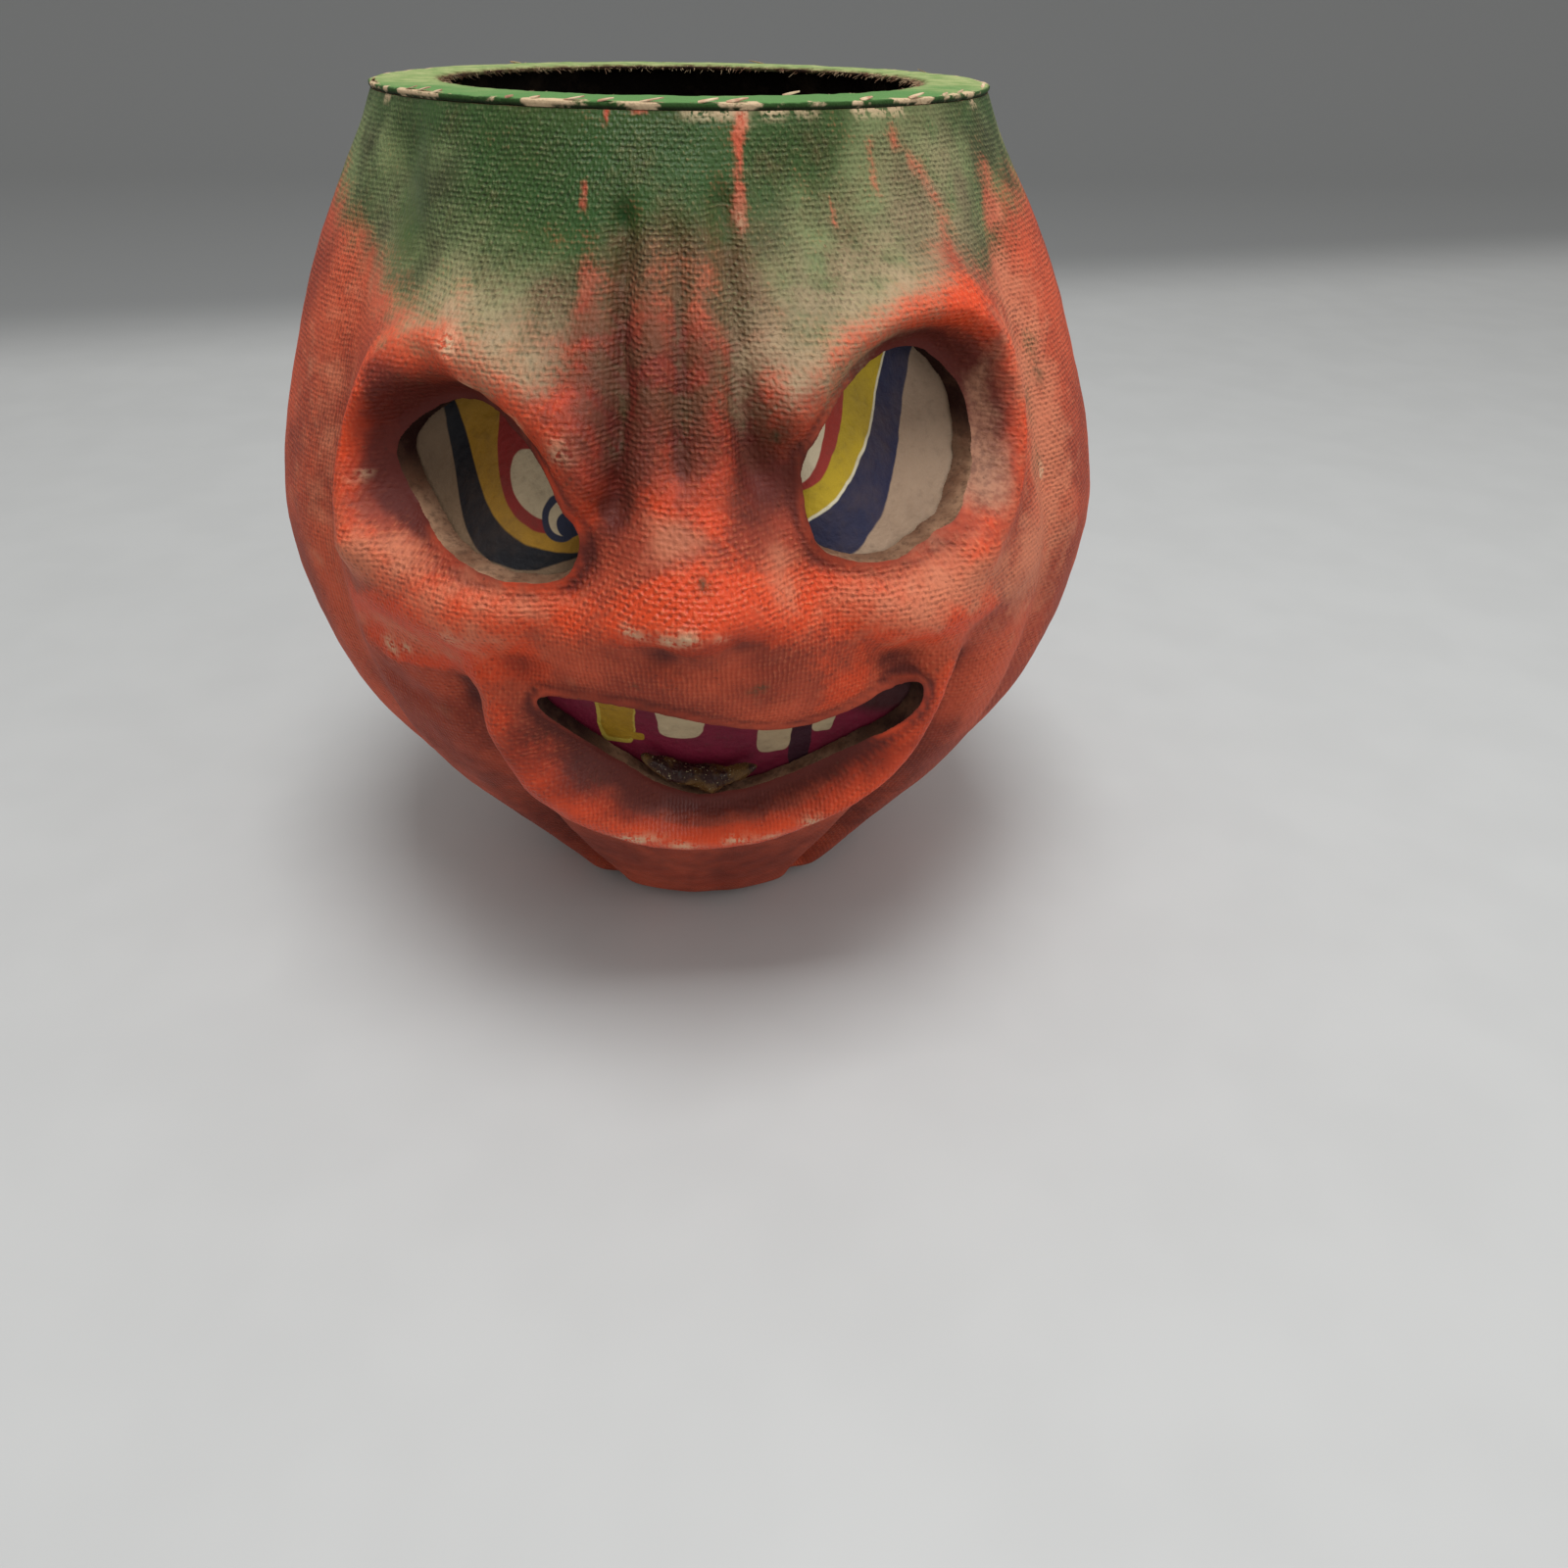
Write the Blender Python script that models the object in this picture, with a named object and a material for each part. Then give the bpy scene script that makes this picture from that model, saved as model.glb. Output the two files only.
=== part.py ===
# Papier-mache jack-o-lantern.
# Two pressed pulp half shells, face and back, are glued edge to edge under a card ring at the
# top and over a card disc at the bottom. Paper slips with the eyes and the teeth are glued
# behind the three holes of the face, and a tin candle cup is riveted to the pulp floor.
#
# The origin is the middle of the underside. The face looks towards -Y, and +Z is up.
# Lengths are in millimetres and angles in degrees until a mesh is made.

import math

import bmesh
import bpy
import numpy as np
from mathutils import Vector

MM = 0.001
GLUE_GAP = 0.3            # glue line between two pieces that sit on each other

# Body: heights above the rest face, and the radius there before ribs and face are added
BODY_HEIGHT = 162.0
RIM_RADIUS = 55.0
SHOULDER_HEIGHT = 125.0
SHOULDER_RADIUS = 72.5
GIRTH_HEIGHT = 89.0
GIRTH_RADIUS = 82.4
JAW_HEIGHT = 58.0
JAW_RADIUS = 77.0
FOOT_HEIGHT = 9.0
FOOT_RADIUS = 44.0
BASE_RADIUS = 39.0
BASE_ROUND = 3.0
WALL = 3.2
FLOOR_THICKNESS = 3.2

# Ribs, all behind the face
FACE_HALF_ANGLE = 54.0
RIB_COUNT = 6
RIB_LOBE = 1.2
RIB_GROOVE = 2.2
RIB_GROOVE_WIDTH = 4.0
RIB_FADE = 26.0           # ribs die out over this length below the rim

# Card ring on top and card disc underneath
RING_THICKNESS = 1.4
RING_OVERHANG = 0.6
RING_HOLE_RADIUS = 42.0
DISC_THICKNESS = 1.5
DISC_RADIUS = 31.0
CARD_BEVEL = 0.35

# Lost wire bail: one hole at each end of the seam
BAIL_HOLE_RADIUS = 1.5
BAIL_HOLE_DROP = 7.0      # below the shells' top edge

# Paper strips inside, over the two seams
STRIP_THICKNESS = 0.7
STRIP_HALF_WIDTH = 9.0
STRIP_END_CLEARANCE = 8.0

# Candle cup and the eyelet that holds it to the floor
CUP_RADIUS = 12.0
CUP_HEIGHT = 14.0
CUP_TIN = 0.7
CUP_RIM_ROLL = 0.9
CUP_CORNER = 2.0
EYELET_RADIUS = 2.1
EYELET_BORE = 1.2
EYELET_FLANGE_RADIUS = 4.6
EYELET_FLANGE = 0.7
EYELET_FIT = 0.3
EYELET_RECESS_DEPTH = 1.4

# Printed paper slips behind the holes of the face
SLIP_THICKNESS = 0.6
SLIP_MARGIN = 5.0         # how far a slip reaches past its hole

# Glue bead along the bottom of the mouth; its route is in places (u, h) of the face, see below
BEAD_RADIUS = 1.9
BEAD_SWELL = 0.5
BEAD_LUMPS = 5
BEAD_SIDES = 8
BEAD_LIFT = 0.2           # clearance between the bead and the slip behind it
BEAD_ROUTE = ((-11, -33), (-6, -37), (0, -38.6), (6, -38), (12.5, -35.6))

# Face. A place on the face is (u, h): u is the distance round a circle of FACE_RADIUS,
# positive to +X, and h is the height above the tip of the nose.
NOSE_HEIGHT = 94.0
FACE_RADIUS = 80.0

EYE_LEFT = ((-39.5, 28.5), (-31.5, 26.5), (-23, 21), (-18.5, 12), (-20.5, 5), (-28, 4),
            (-38, 5.5), (-48, 9), (-55, 14), (-56, 20.5), (-49, 26))
EYE_RIGHT = ((42, 34), (31, 32), (23.5, 28.5), (18, 23), (17, 16), (19, 9), (24, 6.5),
             (31, 6), (39.5, 8), (47, 12), (52.5, 17.5), (54.5, 26), (50, 32))
MOUTH = ((-27.4, -18.4), (-22, -16.6), (-15, -16.6), (-8, -17.6), (1, -20.6), (9, -23.4),
         (17, -24.2), (25, -21.9), (32, -18.6), (37.6, -18.4), (34.5, -25.6), (27, -32.2),
         (18.5, -37), (9, -40.6), (-1, -42), (-8, -39.6), (-14.5, -34.8), (-22, -27.6))

# Hollows round the holes: depth at the deep side, share of it at the shallow side, the
# direction in which it deepens, and how far from the hole the face is level again
SOCKET_DEPTH = 7.0
SOCKET_SHALLOW = 0.1
SOCKET_REACH = 7.5
EYE_LEFT_DEEPENS = (-0.05, 0.05)
EYE_RIGHT_DEEPENS = (0.05, 0.05)
MOUTH_HOLLOW_DEPTH = 4.2
MOUTH_HOLLOW_SHALLOW = 0.15
MOUTH_HOLLOW_REACH = 8.0
MOUTH_DEEPENS = (0.0, -0.12)

# Ridges and grooves of the face: route, height (negative for a groove) and width
BROW_LEFT = ((-58.5, 6), (-61, 14), (-60.5, 22), (-56, 31), (-46, 37), (-36, 35.5),
             (-28, 31.5), (-21, 26), (-17, 20))
BROW_RIGHT = ((47, 8), (54, 14), (58.5, 23), (58.5, 33), (52, 40), (41, 40.5), (31, 38),
              (23, 34), (17.5, 29))
BROW_HEIGHT = 5.6
BROW_WIDTH = 4.4
LIP = ((-36.5, -17), (-34.5, -28), (-29.5, -37.5), (-20, -45.5), (-6, -50.6), (9, -49.8),
       (20, -45.4), (29.5, -38.5), (37, -29), (42, -18))
LIP_HEIGHT = 6.4
LIP_WIDTH = 4.3
JAW_GROOVE_LEFT = ((-42, -20), (-40, -38), (-44, -56), (-46, -74), (-46, -100))
JAW_GROOVE_RIGHT = ((48, -20), (46, -38), (44.5, -56), (44, -74), (44, -100))
JAW_GROOVE_DEPTH = 4.6
JAW_GROOVE_WIDTH = 4.2
CHEEK_FOLD_LEFT = ((-17, 6), (-21, -1), (-28, -9), (-37, -15))
CHEEK_FOLD_RIGHT = ((17, 4), (21, -3), (28, -10), (37, -15))
CHEEK_FOLD_DEPTH = 2.4
CHEEK_FOLD_WIDTH = 3.6
TEMPLE_GROOVE = ((-80, 66), (-66, 52), (-51, 39))
TEMPLE_GROOVE_DEPTH = 2.2
TEMPLE_GROOVE_WIDTH = 4.6
BROW_FOLDS = (((-12.5, 52), (-12, 36), (-13, 16)), ((-2.5, 50), (-2, 34), (-2.5, 22)),
              ((6.5, 54), (7, 38), (9, 20)))
BROW_FOLD_DEPTHS = (3.0, 2.0, 2.4)
BROW_FOLD_WIDTH = 2.0

# Rounded forms of the face: middle, half widths across and up, and height
GLABELLA = ((-2.5, 31), (13, 13), 3.2)
CORNER_HOLLOWS = (((-13.5, 17), (3.6, 5.5), -2.6), ((11.5, 18), (3.6, 6.5), -2.6))
FOREHEAD_DIPS = (((-32, 50), (13, 8), -2.0), ((29, 53), (13, 8), -2.0))
CHEEKS = (((-38, -3), (15, 8), 5.4), ((38, -4), (14, 8), 5.4))
CHEEK_UNDERSIDE = -14.0   # below this height there is nothing of the cheeks
CHEEK_UNDERCUT = 9.0      # height over which they swell out above it
MUZZLE = ((3, -10), (17, 8.5), 3.6)
NOSTRILS = (((-5.8, -4.5), (2.6, 2.2), -2.2), ((5.4, -2.8), (2.8, 2.2), -2.2))
CHIN = ((-1, -76), (24, 12), 2.2)
CHIN_DENT = ((4, -78), (4, 12), -1.0)

NOSE_TIP = 8.4
NOSE_HALF_WIDTH = 9.0
NOSE_BRIDGE_LENGTH = 26.0
NOSE_UNDERSIDE = 9.0
NOSE_BRIDGE_SHARE = 0.75  # width of the bridge as a share of the tip's

# How the face's forms die out: towards the sides in degrees, and towards the rim and the foot
FACE_EDGE_START = 42.0
FACE_EDGE_END = 60.0
RIM_FADE = 8.0
FOOT_FADE = 6.0
FOOT_SHARE = 0.35         # what is left of the forms at the very foot

# Fineness of the inside skins; the outside one of the face half is twice as fine
FACE_STEP = 4.8           # between columns on the face
SIDE_STEP = 10.0          # between columns beside and behind it
FACE_ROW_STEP = 6.8       # between rows on the face
PLAIN_ROW_STEP = 9.0      # between rows above and below it
FEATURES_HALF_ANGLE = 48.0
FEATURES_ABOVE_NOSE = 43.0
FEATURES_BELOW_NOSE = 52.0
OUTLINE_STEPS = 3
ROUTE_STEPS = 12
TURN_STEPS = 56
SMALL_TURN_STEPS = 24

# Guides: how far in and out the radial wedges reach, and how far the rods stand out
CUT_RADII = (40.0, 110.0)
ROD_END = 10.0


# Heights that follow from the sizes above

def shell_top():
    return BODY_HEIGHT - RING_THICKNESS - GLUE_GAP


def shell_bottom():
    return DISC_THICKNESS + GLUE_GAP


def floor_top():
    return shell_bottom() + FLOOR_THICKNESS


# Curves

def smooth_route(points, steps, closed=False):
    """Points of a smooth curve that passes through the given ones."""
    pts = np.array(points, float)
    count = len(pts)
    spans = count if closed else count - 1
    out = []
    for i in range(spans):
        if closed:
            a, b, c, d = (pts[(i + k) % count] for k in (-1, 0, 1, 2))
        else:
            b, c = pts[i], pts[i + 1]
            a = pts[i - 1] if i > 0 else 2 * b - c
            d = pts[i + 2] if i + 2 < count else 2 * c - b
        for k in range(steps):
            t = k / steps
            out.append(0.5 * (2 * b + (c - a) * t + (2 * a - 5 * b + 4 * c - d) * t * t
                              + (3 * b - a - 3 * c + d) * t ** 3))
    if not closed:
        out.append(pts[-1])
    return np.array(out)


def soft_step(value, start, end):
    """0 before start, 1 after end, smooth between them."""
    t = np.clip((value - start) / (end - start), 0.0, 1.0)
    return t * t * (3 - 2 * t)


def bump(u, h, form):
    """A rounded form: 1 at its middle times its height."""
    (cu, ch), (wu, wh), height = form
    return height * np.exp(-0.5 * (((u - cu) / wu) ** 2 + ((h - ch) / wh) ** 2))


def distance_to_route(u, h, route):
    """Distance from each place to the nearest segment of a route."""
    best = np.full(np.shape(u), 1e9)
    for (au, ah), (bu, bh) in zip(route[:-1], route[1:]):
        du, dh = bu - au, bh - ah
        t = np.clip(((u - au) * du + (h - ah) * dh) / (du * du + dh * dh), 0.0, 1.0)
        best = np.minimum(best, np.hypot(u - au - t * du, h - ah - t * dh))
    return best


def ridge(u, h, points, height, width):
    """A ridge, or with a negative height a groove, along a route."""
    route = smooth_route(points, ROUTE_STEPS)
    return height * np.exp(-0.5 * (distance_to_route(u, h, route) / width) ** 2)


def distance_outside(u, h, outline):
    """Distance outside a closed outline, negative inside it."""
    loop = np.vstack([outline, outline[:1]])
    inside = np.zeros(np.shape(u), bool)
    for (au, ah), (bu, bh) in zip(loop[:-1], loop[1:]):
        if ah == bh:
            continue
        crosses = (ah > h) != (bh > h)
        inside ^= crosses & (u < au + (h - ah) * (bu - au) / (bh - ah))
    edge = distance_to_route(u, h, loop)
    return np.where(inside, -edge, edge)


def hole_outline(points):
    return smooth_route(points, OUTLINE_STEPS, closed=True)


# Body surface

def profile_radius(z):
    """Radius of the plain body at height z, a smooth curve through its stations."""
    heights = np.array([shell_bottom(), FOOT_HEIGHT, JAW_HEIGHT, GIRTH_HEIGHT,
                        SHOULDER_HEIGHT, shell_top()])
    radii = np.array([BASE_RADIUS, FOOT_RADIUS, JAW_RADIUS, GIRTH_RADIUS,
                      SHOULDER_RADIUS, RIM_RADIUS])
    slopes = np.gradient(radii, heights)
    i = np.clip(np.searchsorted(heights, z, side="right") - 1, 0, len(heights) - 2)
    span = heights[i + 1] - heights[i]
    t = (z - heights[i]) / span
    return (radii[i] * (1 + 2 * t) * (1 - t) ** 2 + radii[i + 1] * t * t * (3 - 2 * t)
            + span * slopes[i] * t * (1 - t) ** 2 - span * slopes[i + 1] * t * t * (1 - t))


def base_rounding(z):
    """What the rounded bottom edge takes off the radius."""
    up = np.clip(BASE_ROUND - (z - shell_bottom()), 0.0, BASE_ROUND)
    return BASE_ROUND - np.sqrt(BASE_ROUND ** 2 - up ** 2)


def rib_relief(angle, z):
    """Pumpkin ribs round the sides and the back."""
    pitch = (360.0 - 2 * FACE_HALF_ANGLE) / RIB_COUNT
    behind = np.abs(angle) - FACE_HALF_ANGLE
    phase = np.clip(behind, 0.0, None) / pitch
    lobe = RIB_LOBE * 0.5 * (1 - np.cos(2 * math.pi * phase))
    nearest = np.abs(behind - pitch * np.clip(np.round(behind / pitch), 0, None))
    away = np.radians(nearest) * profile_radius(z)
    groove = RIB_GROOVE * np.exp(-0.5 * (away / RIB_GROOVE_WIDTH) ** 2)
    return (lobe - groove) * soft_step(shell_top() - z, 0.0, RIB_FADE)


def socket(u, h, points, depth, shallow, deepens, reach):
    """Hollow round a hole, deeper towards one side of it."""
    outline = hole_outline(points)
    middle = outline.mean(axis=0)
    along = (u - middle[0]) * deepens[0] + (h - middle[1]) * deepens[1]
    share = shallow + (1 - shallow) * soft_step(along, -1.0, 1.0)
    level = 1 - soft_step(distance_outside(u, h, outline), 0.0, reach)
    return -depth * share * level


def nose_relief(u, h):
    rise = soft_step(NOSE_BRIDGE_LENGTH - h, 0.0, NOSE_BRIDGE_LENGTH)
    under = soft_step(h, -NOSE_UNDERSIDE, 0.5)
    half_width = NOSE_HALF_WIDTH * (NOSE_BRIDGE_SHARE + (1 - NOSE_BRIDGE_SHARE) * rise)
    return NOSE_TIP * rise * under * np.exp(-0.5 * (u / half_width) ** 2)


def face_relief(angle, z):
    """Everything that the face adds to the plain body."""
    u = np.radians(angle) * FACE_RADIUS
    h = z - NOSE_HEIGHT
    relief = nose_relief(u, h)
    relief += bump(u, h, GLABELLA) + bump(u, h, MUZZLE) + bump(u, h, CHIN)
    relief += bump(u, h, CHIN_DENT)
    for form in CORNER_HOLLOWS + FOREHEAD_DIPS + NOSTRILS:
        relief += bump(u, h, form)
    under_cheek = soft_step(h, CHEEK_UNDERSIDE, CHEEK_UNDERSIDE + CHEEK_UNDERCUT)
    for form in CHEEKS:
        relief += bump(u, h, form) * under_cheek
    for route in (BROW_LEFT, BROW_RIGHT):
        relief += ridge(u, h, route, BROW_HEIGHT, BROW_WIDTH)
    relief += ridge(u, h, LIP, LIP_HEIGHT, LIP_WIDTH)
    for route in (JAW_GROOVE_LEFT, JAW_GROOVE_RIGHT):
        relief += ridge(u, h, route, -JAW_GROOVE_DEPTH, JAW_GROOVE_WIDTH)
    for route in (CHEEK_FOLD_LEFT, CHEEK_FOLD_RIGHT):
        relief += ridge(u, h, route, -CHEEK_FOLD_DEPTH, CHEEK_FOLD_WIDTH)
    relief += ridge(u, h, TEMPLE_GROOVE, -TEMPLE_GROOVE_DEPTH, TEMPLE_GROOVE_WIDTH)
    for route, depth in zip(BROW_FOLDS, BROW_FOLD_DEPTHS):
        relief += ridge(u, h, route, -depth, BROW_FOLD_WIDTH)
    for hole, deepens in ((EYE_LEFT, EYE_LEFT_DEEPENS), (EYE_RIGHT, EYE_RIGHT_DEEPENS)):
        relief += socket(u, h, hole, SOCKET_DEPTH, SOCKET_SHALLOW, deepens, SOCKET_REACH)
    relief += socket(u, h, MOUTH, MOUTH_HOLLOW_DEPTH, MOUTH_HOLLOW_SHALLOW, MOUTH_DEEPENS,
                     MOUTH_HOLLOW_REACH)
    edge = 1 - soft_step(np.abs(angle), FACE_EDGE_START, FACE_EDGE_END)
    top = soft_step(shell_top() - z, 0.0, RIM_FADE)
    foot = soft_step(z - shell_bottom(), 0.0, FOOT_FADE)
    return relief * edge * top * (FOOT_SHARE + (1 - FOOT_SHARE) * foot)


def outer_radius(angle, z):
    """Outside of the pulp at an angle from the middle of the face and a height."""
    turned = (np.asarray(angle) + 180.0) % 360.0 - 180.0
    plain = profile_radius(z) - base_rounding(z)
    return plain + rib_relief(turned, z) + face_relief(turned, z)


def inner_radius(angle, z):
    """Inside of the pulp: no place on it is nearer than WALL to the outside."""
    nearest = outer_radius(angle, z) - WALL
    for share in (0.5, 0.9):
        reach = share * WALL
        depth = math.sqrt(WALL ** 2 - reach ** 2)
        for turn in np.radians(np.arange(0, 360, 45)):
            side = np.degrees(reach * np.cos(turn) / GIRTH_RADIUS)
            up = np.clip(z + reach * np.sin(turn), shell_bottom() + BASE_ROUND, shell_top())
            nearest = np.minimum(nearest, outer_radius(angle + side, up) - depth)
    return nearest


# Mesh helpers

def finish_object(name, mesh_data, material, smooth_angle=40.0):
    """Object from a bmesh in millimetres, with its faces pointing out."""
    bmesh.ops.recalc_face_normals(mesh_data, faces=mesh_data.faces)
    bmesh.ops.scale(mesh_data, vec=Vector((MM, MM, MM)), verts=mesh_data.verts)
    mesh = bpy.data.meshes.new(name)
    mesh_data.to_mesh(mesh)
    mesh_data.free()
    mesh.materials.append(material)
    mesh.shade_smooth()
    mesh.set_sharp_from_angle(angle=math.radians(smooth_angle))
    obj = bpy.data.objects.new(name, mesh)
    bpy.context.scene.collection.objects.link(obj)
    return obj


def new_material(name, colour, roughness, metallic=0.0):
    material = bpy.data.materials.new(name)
    material.use_nodes = True
    shader = material.node_tree.nodes["Principled BSDF"]
    shader.inputs["Base Color"].default_value = (*colour, 1.0)
    shader.inputs["Roughness"].default_value = roughness
    shader.inputs["Metallic"].default_value = metallic
    material.diffuse_color = (*colour, 1.0)
    return material


def add_boolean(obj, cutter, operation="DIFFERENCE"):
    """Cut obj by a guide solid, which stays hidden."""
    cutter.hide_render = True
    cutter.display_type = "WIRE"
    modifier = obj.modifiers.new(cutter.name, "BOOLEAN")
    modifier.operation = operation
    modifier.solver = "EXACT"
    modifier.object = cutter


def turned_piece(name, profile, material, steps, smooth_angle=40.0):
    """Solid of revolution about Z from a closed (radius, height) profile."""
    bm = bmesh.new()
    ring = [bm.verts.new((r, 0.0, z)) for r, z in profile]
    edges = [bm.edges.new((ring[i - 1], ring[i])) for i in range(len(ring))]
    bmesh.ops.spin(bm, geom=ring + edges, cent=(0, 0, 0), axis=(0, 0, 1),
                   angle=2 * math.pi, steps=steps, use_merge=True, use_duplicate=False)
    bmesh.ops.remove_doubles(bm, verts=bm.verts, dist=1e-4)
    return finish_object(name, bm, material, smooth_angle)


def skin_point(angle, radius, z):
    a = math.radians(angle)
    return (radius * math.sin(a), -radius * math.cos(a), z)


def skin_grid(bm, columns, heights, radius_of):
    """Rows of vertices on a surface, from the top row down."""
    angle, z = np.meshgrid(np.array(columns, float), np.array(heights, float))
    radius = radius_of(angle, z)
    return [[bm.verts.new(skin_point(angle[j, i], radius[j, i], z[j, i]))
             for i in range(len(columns))] for j in range(len(heights))]


def fold(a, b, c, d):
    """How much a quad is folded when it is cut from a to c."""
    first = (b.co - a.co).cross(c.co - a.co)
    second = (c.co - a.co).cross(d.co - a.co)
    return first.angle(second, math.pi)


def fill_grid(bm, rows, flattest=False):
    """Triangles over a grid, cut along one diagonal, or along the one that folds less."""
    for upper, lower in zip(rows[:-1], rows[1:]):
        for i in range(len(upper) - 1):
            a, b, c, d = upper[i], lower[i], lower[i + 1], upper[i + 1]
            if flattest and fold(b, c, d, a) < fold(a, b, c, d):
                a, b, c, d = b, c, d, a
            bm.faces.new((a, b, c))
            bm.faces.new((a, c, d))


def fill_band(bm, first, second):
    """Faces between two rows of vertices, the second with as many or half as many steps."""
    for i in range(len(second) - 1):
        if len(first) == len(second):
            bm.faces.new((first[i], first[i + 1], second[i + 1], second[i]))
        else:
            bm.faces.new((first[2 * i], first[2 * i + 1], second[i]))
            bm.faces.new((first[2 * i + 1], second[i + 1], second[i]))
            bm.faces.new((first[2 * i + 1], first[2 * i + 2], second[i + 1]))


def close_edges(bm, outer, inner):
    """Top edge and the two upright ends between an outer and an inner grid."""
    fill_band(bm, outer[0], inner[0])
    for end in (0, -1):
        fill_band(bm, [row[end] for row in outer], [row[end] for row in inner])


# Guides that cut the pieces

def radial_cutter(name, outline, near, far):
    """Wedge that cuts straight towards the body's axis, from an outline on the face."""
    bm = bmesh.new()
    loops = []
    for radius in (near, far):
        loops.append([bm.verts.new(skin_point(math.degrees(u / FACE_RADIUS), radius,
                                              h + NOSE_HEIGHT)) for u, h in outline])
    bm.faces.new(loops[0])
    bm.faces.new(loops[1])
    for i in range(len(outline)):
        bm.faces.new((loops[0][i - 1], loops[0][i], loops[1][i], loops[1][i - 1]))
    return finish_object(name, bm, guide_material())


def rod_cutter(name, radius, start, end, steps):
    """Round rod between two places."""
    bm = bmesh.new()
    along = Vector(end) - Vector(start)
    bmesh.ops.create_cone(bm, cap_ends=True, segments=steps, radius1=radius, radius2=radius,
                          depth=along.length)
    turn = along.to_track_quat("Z", "Y").to_matrix()
    bmesh.ops.rotate(bm, cent=(0, 0, 0), matrix=turn, verts=bm.verts)
    bmesh.ops.translate(bm, vec=(Vector(start) + Vector(end)) / 2, verts=bm.verts)
    return finish_object(name, bm, guide_material())


def guide_material():
    return bpy.data.materials.get("guide") or new_material("guide", (0.8, 0.2, 0.8), 1.0)


def grown(outline, margin):
    """The outline moved outward by a margin."""
    before = np.roll(outline, 1, axis=0)
    after = np.roll(outline, -1, axis=0)
    along = after - before
    normal = np.stack([along[:, 1], -along[:, 0]], axis=1)
    normal /= np.linalg.norm(normal, axis=1)[:, None]
    middle = outline.mean(axis=0)
    outward = np.sign(np.sum(normal * (outline - middle), axis=1).sum())
    return outline + outward * margin * normal


# Columns and rows of the skins

def stations(bounds):
    """Values from the first bound to the last, in even steps near the given ones."""
    values = []
    for start, end, step in bounds:
        count = max(1, round(abs(end - start) / step))
        values += [start + (end - start) * k / count for k in range(count)]
    return values + [bounds[-1][1]]


def halved(values):
    """The same stations with one more in the middle of each step."""
    fine = [values[0]]
    for a, b in zip(values[:-1], values[1:]):
        fine += [(a + b) / 2, b]
    return fine


def strip_half_angle():
    return math.degrees(STRIP_HALF_WIDTH / GIRTH_RADIUS)


def face_columns():
    """Angles of the front half's columns, closest together on the face."""
    edge, seam, strip = FEATURES_HALF_ANGLE, 90.0, strip_half_angle()
    return stations(((-seam, strip - seam, strip), (strip - seam, -edge, SIDE_STEP),
                     (-edge, edge, FACE_STEP), (edge, seam - strip, SIDE_STEP),
                     (seam - strip, seam, strip)))


def back_columns():
    seam, strip = 90.0, strip_half_angle()
    return stations(((seam, seam + strip, strip), (seam + strip, 270.0 - strip, SIDE_STEP),
                     (270.0 - strip, 270.0, strip)))


def wall_rows():
    """Heights of both halves' rows, from the top edge to the rounded base."""
    high = NOSE_HEIGHT + FEATURES_ABOVE_NOSE
    low = NOSE_HEIGHT - FEATURES_BELOW_NOSE
    rounded = shell_bottom() + BASE_ROUND
    return stations(((shell_top(), high, PLAIN_ROW_STEP), (high, low, FACE_ROW_STEP),
                     (low, rounded, PLAIN_ROW_STEP), (rounded, shell_bottom(), BASE_ROUND)))


def inner_row(z):
    """Height inside the wall that lies opposite an outside row."""
    share = (shell_top() - z) / (shell_top() - shell_bottom())
    return shell_top() - share * (shell_top() - floor_top())


# Pieces

def half_shell(name, columns, rows, outer_rows, side, material):
    """One pulp half with its half of the floor. side is -1 for the face, 1 for the back."""
    bm = bmesh.new()
    outer = skin_grid(bm, halved(columns), outer_rows, outer_radius)
    inner = skin_grid(bm, columns, [inner_row(z) for z in rows], inner_radius)
    fill_grid(bm, outer, flattest=True)
    fill_grid(bm, inner)
    close_edges(bm, outer, inner)
    bm.faces.new(outer[-1])
    bm.faces.new(inner[-1])
    bm.faces.new((outer[-1][0], outer[-1][-1], inner[-1][-1], inner[-1][0]))
    bmesh.ops.translate(bm, vec=(0, side * GLUE_GAP / 2, 0), verts=bm.verts)
    return finish_object(name, bm, material, 80.0)


def rim_ring(material):
    low = BODY_HEIGHT - RING_THICKNESS
    outer = RIM_RADIUS + RING_OVERHANG
    b = CARD_BEVEL
    profile = [(outer - b, BODY_HEIGHT), (outer, BODY_HEIGHT - b), (outer, low + b),
               (outer - b, low), (RING_HOLE_RADIUS, low),
               (RING_HOLE_RADIUS, BODY_HEIGHT - b), (RING_HOLE_RADIUS + b, BODY_HEIGHT)]
    return turned_piece("rim_ring", profile, material, TURN_STEPS)


def base_disc(material):
    bm = bmesh.new()
    bmesh.ops.create_cone(bm, cap_ends=True, segments=TURN_STEPS, radius1=DISC_RADIUS,
                          radius2=DISC_RADIUS, depth=DISC_THICKNESS)
    bmesh.ops.translate(bm, vec=(0, 0, DISC_THICKNESS / 2), verts=bm.verts)
    disc = finish_object("base_disc", bm, material)
    bevel = disc.modifiers.new("worn edge", "BEVEL")
    bevel.width = CARD_BEVEL * MM
    bevel.segments = 1
    bevel.limit_method = "ANGLE"
    return disc


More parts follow.
